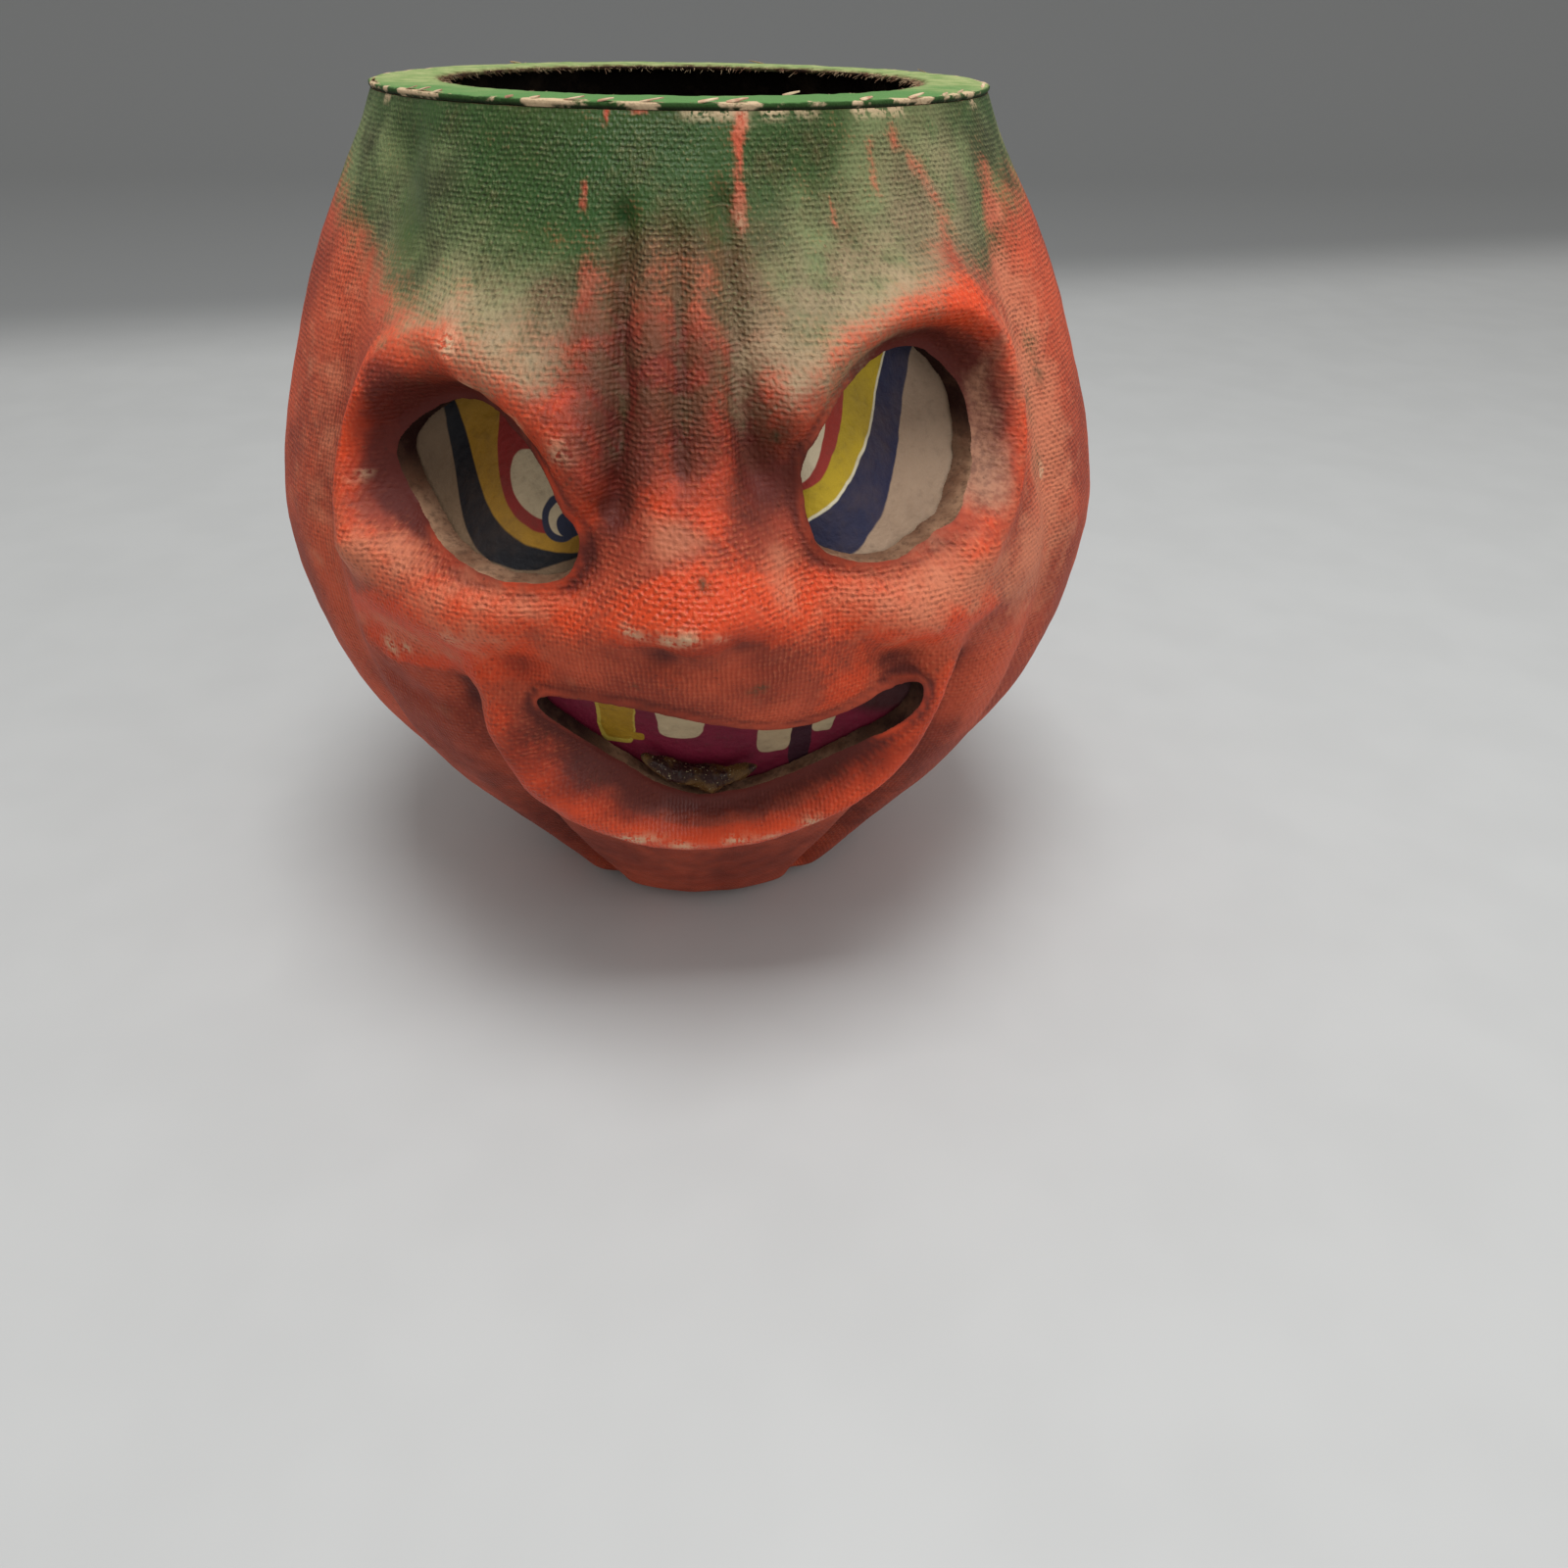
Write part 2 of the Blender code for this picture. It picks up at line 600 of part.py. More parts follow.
def seam_strip(name, middle, material):
    """Paper strip inside over one seam, on both halves."""
    columns = [middle - strip_half_angle(), middle, middle + strip_half_angle()]
    low = floor_top() + STRIP_END_CLEARANCE
    high = shell_top() - BAIL_HOLE_DROP - STRIP_END_CLEARANCE
    rows = [z for z in map(inner_row, wall_rows()) if low < z < high]
    bm = bmesh.new()
    outer = skin_grid(bm, columns, rows, lambda a, z: inner_radius(a, z) - GLUE_GAP)
    inner = skin_grid(bm, columns, rows,
                      lambda a, z: inner_radius(a, z) - GLUE_GAP - STRIP_THICKNESS)
    fill_grid(bm, outer)
    fill_grid(bm, inner)
    close_edges(bm, outer, inner)
    fill_band(bm, outer[-1], inner[-1])
    return finish_object(name, bm, material)


def paper_slip(name, hole, material):
    """Printed slip glued inside behind a hole, on the same grid as the face's inside."""
    outline = grown(hole_outline(hole), SLIP_MARGIN)
    past = 0.5
    low_u, low_h = outline.min(axis=0) - past
    high_u, high_h = outline.max(axis=0) + past
    turn = math.degrees(1 / FACE_RADIUS)
    columns = face_columns()
    first = max(i for i, a in enumerate(columns) if a < low_u * turn)
    last = min(i for i, a in enumerate(columns) if a > high_u * turn)
    heights = [inner_row(z) for z in wall_rows()]
    top = max(i for i, z in enumerate(heights) if z > high_h + NOSE_HEIGHT)
    bottom = min(i for i, z in enumerate(heights) if z < low_h + NOSE_HEIGHT)
    bm = bmesh.new()
    span, rows = columns[first:last + 1], heights[top:bottom + 1]
    outer = skin_grid(bm, span, rows, lambda a, z: inner_radius(a, z) - GLUE_GAP)
    inner = skin_grid(bm, span, rows,
                      lambda a, z: inner_radius(a, z) - GLUE_GAP - SLIP_THICKNESS)
    fill_grid(bm, outer)
    fill_grid(bm, inner)
    close_edges(bm, outer, inner)
    fill_band(bm, outer[-1], inner[-1])
    bmesh.ops.translate(bm, vec=(0, -GLUE_GAP / 2, 0), verts=bm.verts)
    slip = finish_object(name, bm, material)
    add_boolean(slip, radial_cutter(name + " outline", outline, *CUT_RADII), "INTERSECT")
    return slip


def candle_cup(material):
    """Pressed tin cup with a rolled rim, open at its middle for the eyelet."""
    low = floor_top() + GLUE_GAP
    top = low + CUP_HEIGHT
    hole = EYELET_RADIUS + EYELET_FIT
    inside = CUP_RADIUS - CUP_TIN
    profile = [(hole, low), (CUP_RADIUS - CUP_CORNER, low)]
    profile += [(CUP_RADIUS - CUP_CORNER + CUP_CORNER * math.sin(t),
                 low + CUP_CORNER - CUP_CORNER * math.cos(t))
                for t in (math.pi / 6, math.pi / 3, math.pi / 2)]
    roll = CUP_RADIUS - CUP_TIN / 2
    profile += [(roll + CUP_RIM_ROLL * math.cos(t), top - CUP_RIM_ROLL + CUP_RIM_ROLL * math.sin(t))
                for t in np.radians((-50, 0, 50, 90, 140))]
    profile += [(inside, top - 2 * CUP_RIM_ROLL), (inside, low + CUP_CORNER),
                (inside - 0.3 * CUP_CORNER, low + CUP_TIN + 0.2 * CUP_CORNER),
                (CUP_RADIUS - CUP_CORNER, low + CUP_TIN), (hole, low + CUP_TIN)]
    return turned_piece("candle_cup", profile, material, SMALL_TURN_STEPS)


def cup_eyelet(material):
    """Eyelet through the cup and the pulp floor, clenched in the recess underneath."""
    seat = shell_bottom() + EYELET_RECESS_DEPTH - EYELET_FIT
    top = floor_top() + GLUE_GAP + CUP_TIN + EYELET_FIT
    profile = [(EYELET_BORE, seat - EYELET_FLANGE), (EYELET_FLANGE_RADIUS, seat - EYELET_FLANGE),
               (EYELET_FLANGE_RADIUS, seat), (EYELET_RADIUS, seat), (EYELET_RADIUS, top),
               (EYELET_FLANGE_RADIUS, top), (EYELET_FLANGE_RADIUS - 0.4, top + EYELET_FLANGE),
               (EYELET_BORE + 0.4, top + EYELET_FLANGE), (EYELET_BORE, top)]
    return turned_piece("candle_cup_eyelet", profile, material, SMALL_TURN_STEPS)


def mouth_glue(material):
    """Lumpy bead of set glue along the bottom of the mouth, in front of the slip."""
    route = smooth_route(BEAD_ROUTE, OUTLINE_STEPS + 2)
    count = len(route)
    bm = bmesh.new()
    rings = []
    for k, (u, h) in enumerate(route):
        swell = BEAD_SWELL * abs(math.sin(math.pi * BEAD_LUMPS * k / (count - 1)))
        taper = math.sqrt(max(0.12, 1 - (2 * k / (count - 1) - 1) ** 4))
        radius = (BEAD_RADIUS + swell) * taper
        angle = math.degrees(u / FACE_RADIUS)
        z = h + NOSE_HEIGHT
        slip = float(inner_radius(np.array(angle), np.array(z)))
        depth = slip + BEAD_RADIUS + BEAD_SWELL + BEAD_LIFT
        ring = []
        for j in range(BEAD_SIDES):
            t = 2 * math.pi * j / BEAD_SIDES
            ring.append(bm.verts.new(skin_point(angle, depth + radius * math.cos(t),
                                                z + radius * math.sin(t))))
        rings.append(ring)
    for a, b in zip(rings[:-1], rings[1:]):
        fill_band(bm, a + a[:1], b + b[:1])
    bm.faces.new(rings[0])
    bm.faces.new(rings[-1])
    return finish_object("mouth_glue_bead", bm, material, 60.0)


def main():
    for obj in list(bpy.data.objects):
        bpy.data.objects.remove(obj, do_unlink=True)

    pulp_paint = new_material("painted pulp", (0.62, 0.13, 0.06), 0.55)
    green_card = new_material("green card", (0.22, 0.30, 0.12), 0.8)
    plain_card = new_material("plain card", (0.42, 0.33, 0.22), 0.85)
    seam_paper = new_material("seam paper", (0.50, 0.41, 0.29), 0.85)
    eye_paper = new_material("printed eye paper", (0.72, 0.62, 0.42), 0.7)
    mouth_paper = new_material("printed mouth paper", (0.30, 0.02, 0.06), 0.7)
    tin = new_material("tin", (0.55, 0.54, 0.50), 0.4, 1.0)
    brass = new_material("eyelet brass", (0.60, 0.45, 0.20), 0.35, 1.0)
    glue = new_material("set glue", (0.35, 0.20, 0.09), 0.2)

    rows = wall_rows()
    front = half_shell("front_shell", face_columns(), rows, halved(rows), -1, pulp_paint)
    rear = half_shell("rear_shell", back_columns(), rows, rows, 1, pulp_paint)

    for name, hole in (("left eye cut", EYE_LEFT), ("right eye cut", EYE_RIGHT),
                       ("mouth cut", MOUTH)):
        add_boolean(front, radial_cutter(name, hole_outline(hole), *CUT_RADII))

    bail_height = shell_top() - BAIL_HOLE_DROP
    reach = GIRTH_RADIUS + ROD_END
    bail = rod_cutter("bail holes", BAIL_HOLE_RADIUS, (-reach, 0, bail_height),
                      (reach, 0, bail_height), 12)
    floor_hole = rod_cutter("eyelet hole", EYELET_RADIUS + EYELET_FIT, (0, 0, -ROD_END),
                            (0, 0, floor_top() + ROD_END), SMALL_TURN_STEPS)
    recess = rod_cutter("eyelet recess", EYELET_FLANGE_RADIUS + EYELET_FIT, (0, 0, -ROD_END),
                        (0, 0, shell_bottom() + EYELET_RECESS_DEPTH), SMALL_TURN_STEPS)
    for shell in (front, rear):
        for cutter in (bail, floor_hole, recess):
            add_boolean(shell, cutter)

    rim_ring(green_card)
    base_disc(plain_card)
    seam_strip("left_seam_strip", -90.0, seam_paper)
    seam_strip("right_seam_strip", 90.0, seam_paper)
    paper_slip("left_eye_slip", EYE_LEFT, eye_paper)
    paper_slip("right_eye_slip", EYE_RIGHT, eye_paper)
    paper_slip("mouth_slip", MOUTH, mouth_paper)
    mouth_glue(glue)
    candle_cup(tin)
    cup_eyelet(brass)


main()
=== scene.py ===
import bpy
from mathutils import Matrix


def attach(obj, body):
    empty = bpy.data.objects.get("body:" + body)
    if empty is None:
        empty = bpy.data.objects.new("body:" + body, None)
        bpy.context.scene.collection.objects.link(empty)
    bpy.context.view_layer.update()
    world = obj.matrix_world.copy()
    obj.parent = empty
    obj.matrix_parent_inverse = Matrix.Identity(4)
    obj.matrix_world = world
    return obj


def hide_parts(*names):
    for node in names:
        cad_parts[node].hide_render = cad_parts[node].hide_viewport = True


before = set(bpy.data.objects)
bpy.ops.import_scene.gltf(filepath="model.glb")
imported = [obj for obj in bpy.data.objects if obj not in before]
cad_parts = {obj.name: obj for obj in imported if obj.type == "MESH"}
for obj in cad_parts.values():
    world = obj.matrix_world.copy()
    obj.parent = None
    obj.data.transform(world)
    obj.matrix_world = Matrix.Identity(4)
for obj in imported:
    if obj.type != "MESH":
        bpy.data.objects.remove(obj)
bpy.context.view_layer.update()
print("frame loaded")

import math

import bmesh
import bpy
import numpy as np
from mathutils import Matrix, Vector

mm = 0.001
scene = bpy.context.scene

# camera a little above the rim, looking down on the face; the picture is taken as 1600 x 1600
cameraSet = {
    "place": (0.0, -0.25026, 0.17498),
    "pitch": 34.04,        # degrees below the horizon
    "yaw": 4.61,
    "roll": 0.86,
    "lens": 27.0,
}


def makeCamera(values):
    pitch, yaw, roll = (math.radians(values[key]) for key in ("pitch", "yaw", "roll"))
    forward = Vector((math.sin(yaw) * math.cos(pitch), math.cos(yaw) * math.cos(pitch),
                      -math.sin(pitch)))
    right = Vector((math.cos(yaw), -math.sin(yaw), 0.0))
    up = right.cross(forward)
    across = math.cos(roll) * right + math.sin(roll) * up
    upward = -math.sin(roll) * right + math.cos(roll) * up
    matrix = Matrix.Identity(4)
    for row in range(3):
        matrix[row][0], matrix[row][1] = across[row], upward[row]
        matrix[row][2], matrix[row][3] = -forward[row], values["place"][row]
    data = bpy.data.cameras.new("view")
    data.lens = values["lens"]
    data.sensor_width = 36.0
    data.clip_start = 0.01
    camera = bpy.data.objects.new("view", data)
    scene.collection.objects.link(camera)
    camera.matrix_world = matrix
    scene.camera = camera


makeCamera(cameraSet)
print("camera placed")

# the pulp body in millimetres, the same form as the solids have
body = {
    "height": 162.0, "rimRadius": 55.0, "shoulder": (125.0, 72.5), "girth": (89.0, 82.4),
    "jaw": (58.0, 77.0), "foot": (9.0, 44.0), "baseRadius": 39.0, "baseRound": 3.0,
    "wall": 3.2, "floor": 3.2, "gap": 0.3, "ring": 1.4, "disc": 1.5,
    "faceHalf": 54.0, "ribs": 6, "lobe": 1.2, "groove": 2.2, "grooveWidth": 4.0,
    "ribFade": 26.0, "bailHole": 1.5, "bailDrop": 7.0,
    "eyeletHole": 2.4, "eyeletRecess": (4.9, 1.4),      # radius, and depth from below
}
shellTop = body["height"] - body["ring"] - body["gap"]
shellBottom = body["disc"] + body["gap"]
floorTop = shellBottom + body["floor"]

# places on the face are (u, h): round from its middle, and up from the tip of the nose
face = {
    "noseHeight": 94.0, "radius": 80.0,
    "eyeLeft": ((-40, 26.4), (-32, 24.0), (-23.8, 19.4), (-18.8, 11.6), (-20.5, 5), (-28, 4),
                (-38, 5.5), (-48.4, 8.6), (-55.4, 13.8), (-56.6, 20.3), (-49.4, 25.4)),
    "eyeRight": ((42, 34), (31, 32), (23.5, 28.5), (18, 23), (17, 16), (19, 9), (24, 6.5),
                 (31, 6), (39.5, 8), (47, 12), (52.5, 17.5), (54.5, 26), (50, 32)),
    "mouth": ((-27.4, -18.4), (-22, -16.6), (-15, -16.6), (-8, -17.6), (1, -20.6), (9, -23.4),
              (17, -24.2), (25, -21.9), (32, -18.6), (37.6, -18.4), (34.5, -25.6), (27, -32.2),
              (18.5, -37), (9, -40.6), (-1, -42), (-8, -39.6), (-14.5, -34.8), (-22, -27.6)),
    # ridges and grooves: route, height, width
    "ridges": (
        (((-58.5, 6), (-61, 14), (-60.5, 22), (-56, 31), (-46, 37), (-36, 35.5), (-28, 31.5),
          (-21, 26), (-17, 20)), 5.6, 4.4),
        (((47, 8), (54, 14), (58.5, 23), (58.5, 33), (52, 40), (41, 40.5), (31, 38), (23, 34),
          (17.5, 29)), 5.6, 4.4),
        (((-36.5, -17), (-34.5, -28), (-29.5, -37.5), (-20, -45.5), (-6, -50.6), (9, -49.8),
          (20, -45.4), (29.5, -38.5), (37, -29), (42, -18)), 6.4, 4.3),
        (((-42, -20), (-40, -38), (-44, -56), (-46, -74), (-46, -100)), -4.6, 4.2),
        (((48, -20), (46, -38), (44.5, -56), (44, -74), (44, -100)), -4.6, 4.2),
        (((-17, 6), (-21, -1), (-28, -9), (-37, -15)), -2.4, 3.6),
        (((17, 4), (21, -3), (28, -10), (37, -15)), -2.4, 3.6),
        (((-80, 66), (-66, 52), (-51, 39)), -2.2, 4.6),
        (((-12.5, 52), (-12, 36), (-13, 16)), -3.0, 2.0),
        (((-2.5, 50), (-2, 34), (-2.5, 22)), -2.0, 2.0),
        (((6.5, 54), (7, 38), (9, 20)), -2.4, 2.0),
    ),
    # rounded forms: middle, half widths, height
    "bumps": (
        ((-2.5, 31), (13, 13), 3.2), ((-13.5, 17), (3.6, 5.5), -2.6),
        ((11.5, 18), (3.6, 6.5), -2.6), ((-32, 50), (13, 8), -2.0), ((29, 53), (13, 8), -2.0),
        ((3, -10), (17, 8.5), 3.6), ((-5.8, -4.5), (2.6, 2.2), -2.2),
        ((5.4, -2.8), (2.8, 2.2), -2.2), ((-1, -76), (24, 12), 2.2), ((4, -78), (4, 12), -1.0),
    ),
    "cheeks": (((-38, -3), (15, 8), 5.4), ((38, -4), (14, 8), 5.4)),
    "cheekUnder": (-14.0, -5.0),
    "nose": {"tip": 8.4, "halfWidth": 9.0, "bridge": 26.0, "under": 9.0, "narrow": 0.75},
    # hollows round the holes: hole, depth, shallow side's share, way it deepens, reach
    "hollows": (("eyeLeft", 7.0, 0.1, (-0.05, 0.05), 6.2),
                ("eyeRight", 7.0, 0.1, (0.05, 0.05), 7.5),
                ("mouth", 4.2, 0.15, (0.0, -0.12), 8.0)),
}


def smoothRoute(points, steps, closed=False):
    pts = np.array(points, float)
    count = len(pts)
    out = []
    for i in range(count if closed else count - 1):
        if closed:
            a, b, c, d = (pts[(i + k) % count] for k in (-1, 0, 1, 2))
        else:
            b, c = pts[i], pts[i + 1]
            a = pts[i - 1] if i > 0 else 2 * b - c
            d = pts[i + 2] if i + 2 < count else 2 * c - b
        for k in range(steps):
            t = k / steps
            out.append(0.5 * (2 * b + (c - a) * t + (2 * a - 5 * b + 4 * c - d) * t * t
                              + (3 * b - a - 3 * c + d) * t ** 3))
    if not closed:
        out.append(pts[-1])
    return np.array(out)


def softStep(value, start, end):
    t = np.clip((value - start) / (end - start), 0.0, 1.0)
    return t * t * (3 - 2 * t)


def bell(away, width):
    return np.exp(-0.5 * (away / width) ** 2)


def bump(u, h, middle, half):
    return np.exp(-0.5 * (((u - middle[0]) / half[0]) ** 2 + ((h - middle[1]) / half[1]) ** 2))


def routeDistance(u, h, route, reach):
    # distance to a route, worked out only where it is within reach
    best = np.full(np.shape(u), 1e3)
    low, high = route.min(axis=0) - reach, route.max(axis=0) + reach
    near = (u > low[0]) & (u < high[0]) & (h > low[1]) & (h < high[1])
    pu, ph, found = u[near], h[near], best[near]
    for (au, ah), (bu, bh) in zip(route[:-1], route[1:]):
        du, dh = bu - au, bh - ah
        t = np.clip(((pu - au) * du + (ph - ah) * dh) / (du * du + dh * dh), 0.0, 1.0)
        found = np.minimum(found, np.hypot(pu - au - t * du, ph - ah - t * dh))
    best[near] = found
    return best


def ridge(u, h, points, height, width):
    away = routeDistance(u, h, smoothRoute(points, 12), 5 * width)
    return height * bell(away, width)


def holeOutline(name, steps=3):
    return smoothRoute(face[name], steps, closed=True)


def holeDistance(u, h, name, reach):
    # negative inside the hole
    outline = holeOutline(name)
    loop = np.vstack([outline, outline[:1]])
    inside = np.zeros(np.shape(u), bool)
    for (au, ah), (bu, bh) in zip(loop[:-1], loop[1:]):
        if ah != bh:
            inside ^= ((ah > h) != (bh > h)) & (u < au + (h - ah) * (bu - au) / (bh - ah))
    away = routeDistance(u, h, loop, reach)
    return np.where(inside, -away, away)


def profileRadius(z):
    heights, radii = np.array([(shellBottom, body["baseRadius"]), body["foot"], body["jaw"],
                               body["girth"], body["shoulder"], (shellTop, body["rimRadius"])]).T
    slopes = np.gradient(radii, heights)
    i = np.clip(np.searchsorted(heights, z, side="right") - 1, 0, len(heights) - 2)
    span = heights[i + 1] - heights[i]
    t = (z - heights[i]) / span
    return (radii[i] * (1 + 2 * t) * (1 - t) ** 2 + radii[i + 1] * t * t * (3 - 2 * t)
            + span * slopes[i] * t * (1 - t) ** 2 - span * slopes[i + 1] * t * t * (1 - t))


def baseRounding(z):
    up = np.clip(body["baseRound"] - (z - shellBottom), 0.0, body["baseRound"])
    return body["baseRound"] - np.sqrt(body["baseRound"] ** 2 - up ** 2)


def ribRelief(angle, z):
    pitch = (360.0 - 2 * body["faceHalf"]) / body["ribs"]
    behind = np.abs(angle) - body["faceHalf"]
    lobe = body["lobe"] * 0.5 * (1 - np.cos(2 * math.pi * np.clip(behind, 0.0, None) / pitch))
    nearest = np.abs(behind - pitch * np.clip(np.round(behind / pitch), 0, None))
    away = np.radians(nearest) * profileRadius(z)
    groove = body["groove"] * bell(away, body["grooveWidth"])
    return (lobe - groove) * softStep(shellTop - z, 0.0, body["ribFade"])


def noseRelief(u, h):
    nose = face["nose"]
    rise = softStep(nose["bridge"] - h, 0.0, nose["bridge"])
    under = softStep(h, -nose["under"], 0.5)
    halfWidth = nose["halfWidth"] * (nose["narrow"] + (1 - nose["narrow"]) * rise)
    return nose["tip"] * rise * under * bell(u, halfWidth)


def deepening(u, h, name, way):
    # 0 at the middle of the hole, above 0 towards its deep side
    middle = holeOutline(name).mean(axis=0)
    return (u - middle[0]) * way[0] + (h - middle[1]) * way[1]


def faceRelief(angle, z):
    u = np.radians(angle) * face["radius"]
    h = z - face["noseHeight"]
    relief = noseRelief(u, h)
    for middle, half, height in face["bumps"]:
        relief += height * bump(u, h, middle, half)
    for middle, half, height in face["cheeks"]:
        relief += height * bump(u, h, middle, half) * softStep(h, *face["cheekUnder"])
    for points, height, width in face["ridges"]:
        relief += ridge(u, h, points, height, width)
    for name, depth, shallow, way, reach in face["hollows"]:
        share = shallow + (1 - shallow) * softStep(deepening(u, h, name, way), -1.0, 1.0)
        relief -= depth * share * (1 - softStep(holeDistance(u, h, name, reach), 0.0, reach))
    edge = 1 - softStep(np.abs(angle), 42.0, 60.0)
    rim = softStep(shellTop - z, 0.0, 8.0)
    foot = softStep(z - shellBottom, 0.0, 6.0)
    return relief * edge * rim * (0.35 + 0.65 * foot)


def latticeNoise(points, seed):
    # smooth noise from -1 to 1 at any points in space
    cell = np.floor(points).astype(np.int64)
    part = points - cell
    part = part * part * (3 - 2 * part)
    total = 0.0
    for i in (0, 1):
        for j in (0, 1):
            for k in (0, 1):
                n = ((cell[..., 0] + i) * 73856093) ^ ((cell[..., 1] + j) * 19349663)
                n = (n ^ ((cell[..., 2] + k) * 83492791) ^ (seed * 40503)) & 0x7fffffff
                n = (n ^ (n >> 13)) * 1274126177 & 0x7fffffff
                n = (n ^ (n >> 15)) & 0x7fffffff
                weight = ((part[..., 0] if i else 1 - part[..., 0])
                          * (part[..., 1] if j else 1 - part[..., 1])
                          * (part[..., 2] if k else 1 - part[..., 2]))
                total = total + weight * (n / 0x3fffffff - 1)
    return total


def roughNoise(points, size, seed, octaves=3):
    # noise with features of that size in millimetres, and finer ones on it
    total, weight = 0.0, 1.0
    for k in range(octaves):
        total = total + weight * latticeNoise(points * (2 ** k / size), seed + k)
        weight *= 0.5
    return total / 1.5


def around(angle, radius, z):
    a = np.radians(angle)
    return np.stack([radius * np.sin(a), -radius * np.cos(a), z + 0 * a], axis=-1)


# maps of the surface over angle and height; everything else looks the radius up in them
mapStep, columnWidth = 0.3, 0.42        # degrees, and what that is in millimetres
mapAngles = np.arange(-180.0, 180.01, mapStep)
mapHeights = np.linspace(shellBottom, shellTop, 397)
rowHeight = mapHeights[1] - mapHeights[0]
mapAngle, mapZ = np.meshgrid(mapAngles, mapHeights)
mapU = np.radians(mapAngle) * face["radius"]
mapH = mapZ - face["noseHeight"]


def lookUp(values, angle, z):
    turned = (np.asarray(angle, float) + 180.0) % 360.0
    x = np.clip(turned / mapStep, 0, len(mapAngles) - 1.001)
    y = np.clip((np.asarray(z, float) - shellBottom) / rowHeight, 0, len(mapHeights) - 1.001)
    i, j = x.astype(int), y.astype(int)
    fx, fy = x - i, y - j
    return ((values[j, i] * (1 - fx) + values[j, i + 1] * fx) * (1 - fy)
            + (values[j + 1, i] * (1 - fx) + values[j + 1, i + 1] * fx) * fy)


def blurred(values, width):
    # even blur over that many millimetres, three times over
    out = values
    for axis, step in ((0, rowHeight), (1, columnWidth)):
        half = max(1, int(width / step / 2))
        for _ in range(3):
            pad = [(0, 0), (0, 0)]
            pad[axis] = (half + 1, half)
            total = np.cumsum(np.pad(out, pad, mode="wrap" if axis else "edge"), axis=axis)
            count = total.shape[axis]
            out = (np.take(total, range(2 * half + 1, count), axis)
                   - np.take(total, range(0, count - 2 * half - 1), axis)) / (2 * half + 1)
    return out


inFace = np.abs(mapAngle[0]) < 61
plainMap = profileRadius(mapZ) - baseRounding(mapZ)
solidMap = plainMap + ribRelief(mapAngle, mapZ)
solidMap[:, inFace] += faceRelief(mapAngle[:, inFace], mapZ[:, inFace])
holeMaps = {}
for holeName in ("eyeLeft", "eyeRight", "mouth"):
    holeMaps[holeName] = np.full(mapAngle.shape, 1e3)
    holeMaps[holeName][:, inFace] = holeDistance(mapU[:, inFace], mapH[:, inFace], holeName, 20.0)
holeMap = np.minimum(np.minimum(holeMaps["eyeLeft"], holeMaps["eyeRight"]), holeMaps["mouth"])
mapPoints = around(mapAngle, solidMap, mapZ)
print("body form mapped")


def innerRadius(angle, z):
    # the inside lies a wall's thickness behind the outside, measured the shortest way
    nearest = lookUp(solidMap, angle, z) - body["wall"]
    for share in (0.5, 0.9):
        reach = share * body["wall"]
        depth = math.sqrt(body["wall"] ** 2 - reach ** 2)
        for turn in np.radians(np.arange(0, 360, 45)):
            side = math.degrees(reach * math.cos(turn) / body["girth"][1])
            up = np.clip(z + reach * math.sin(turn), shellBottom + body["baseRound"], shellTop)
            nearest = np.minimum(nearest, lookUp(solidMap, angle + side, up) - depth)
    return nearest


def innerRow(z):
    share = (shellTop - z) / (shellTop - shellBottom)
    return shellTop - share * (shellTop - floorTop)


# small forms that only the eye sees: creases, curled cut edges, lumps of the pulp
wrinkles = {
    "creases": (        # route, depth, width
        (((-11.5, 50), (-12.5, 44), (-11.8, 38), (-10.9, 31), (-11.4, 26), (-13.2, 19)), 1.5, 0.7),
        (((-2.2, 49), (-2.6, 42), (-1.6, 35), (-2.4, 28), (-2.0, 20)), 0.8, 0.8),
        (((8.2, 52), (7.2, 44), (8.4, 36), (6.6, 29), (8.8, 21)), 1.0, 0.8),
        (((-19.5, 3), (-22, -2), (-26, -6)), 0.4, 1.2),
        (((-40.8, -30), (-40.2, -38), (-43.5, -55), (-45.5, -72)), 0.7, 1.0),
        (((43, -28), (42.3, -38), (43, -56), (44, -74)), 0.7, 1.0),
        (((55, 36), (59.5, 31), (60, 24), (57.5, 17)), 0.9, 0.8),
        (((-64, -24), (-52, -26), (-41, -22), (-34, -17)), 1.5, 2.2),
        (((58, -20), (48, -20), (40, -17), (34, -14)), 0.7, 2.2),
        (((17, 42), (21, 34)), 0.3, 1.2), (((-21, 44), (-22, 36), (-23, 30)), 0.4, 1.4),
    ),
    "crests": (         # sharp broken edge of the right brow, and the edge of the lower lip
        (((50, 41), (55.5, 37), (58.2, 30.5), (57.8, 21), (54, 14), (47, 10)), 0.9, 0.9),
        (((-59.5, 15), (-58.6, 24), (-57, 31), (-53, 36.4), (-44, 36.4), (-37, 30), (-30, 25.8),
          (-23, 22), (-19, 15)), 0.9, 1.1),
        (((16, 26), (24, 29.6), (34, 32.5), (43, 37), (50, 41)), 0.5, 1.4),
        (((-31, -36), (-27, -41), (-20, -46.2), (-6, -51.2), (9, -50.4), (20, -46.0), (29, -39.2),
          (35, -31)), 0.5, 1.8),
        (((-66, -16), (-56, -17), (-46, -16), (-38, -13)), 0.7, 2.0),
        (((62, -14), (50, -13), (40, -11), (34, -9)), 0.5, 2.0),
    ),
    "wander": 1.2,      # how unsteady the creases run
    "cutEdge": 0.5,     # how far the cut edges curl out
    "curlWidth": 0.8, "groove": (0.9, 2.0),     # depth and place of the groove beside the curl
    "lumps": (0.75, 15.0), "grain": (0.16, 2.2),        # height and size
}


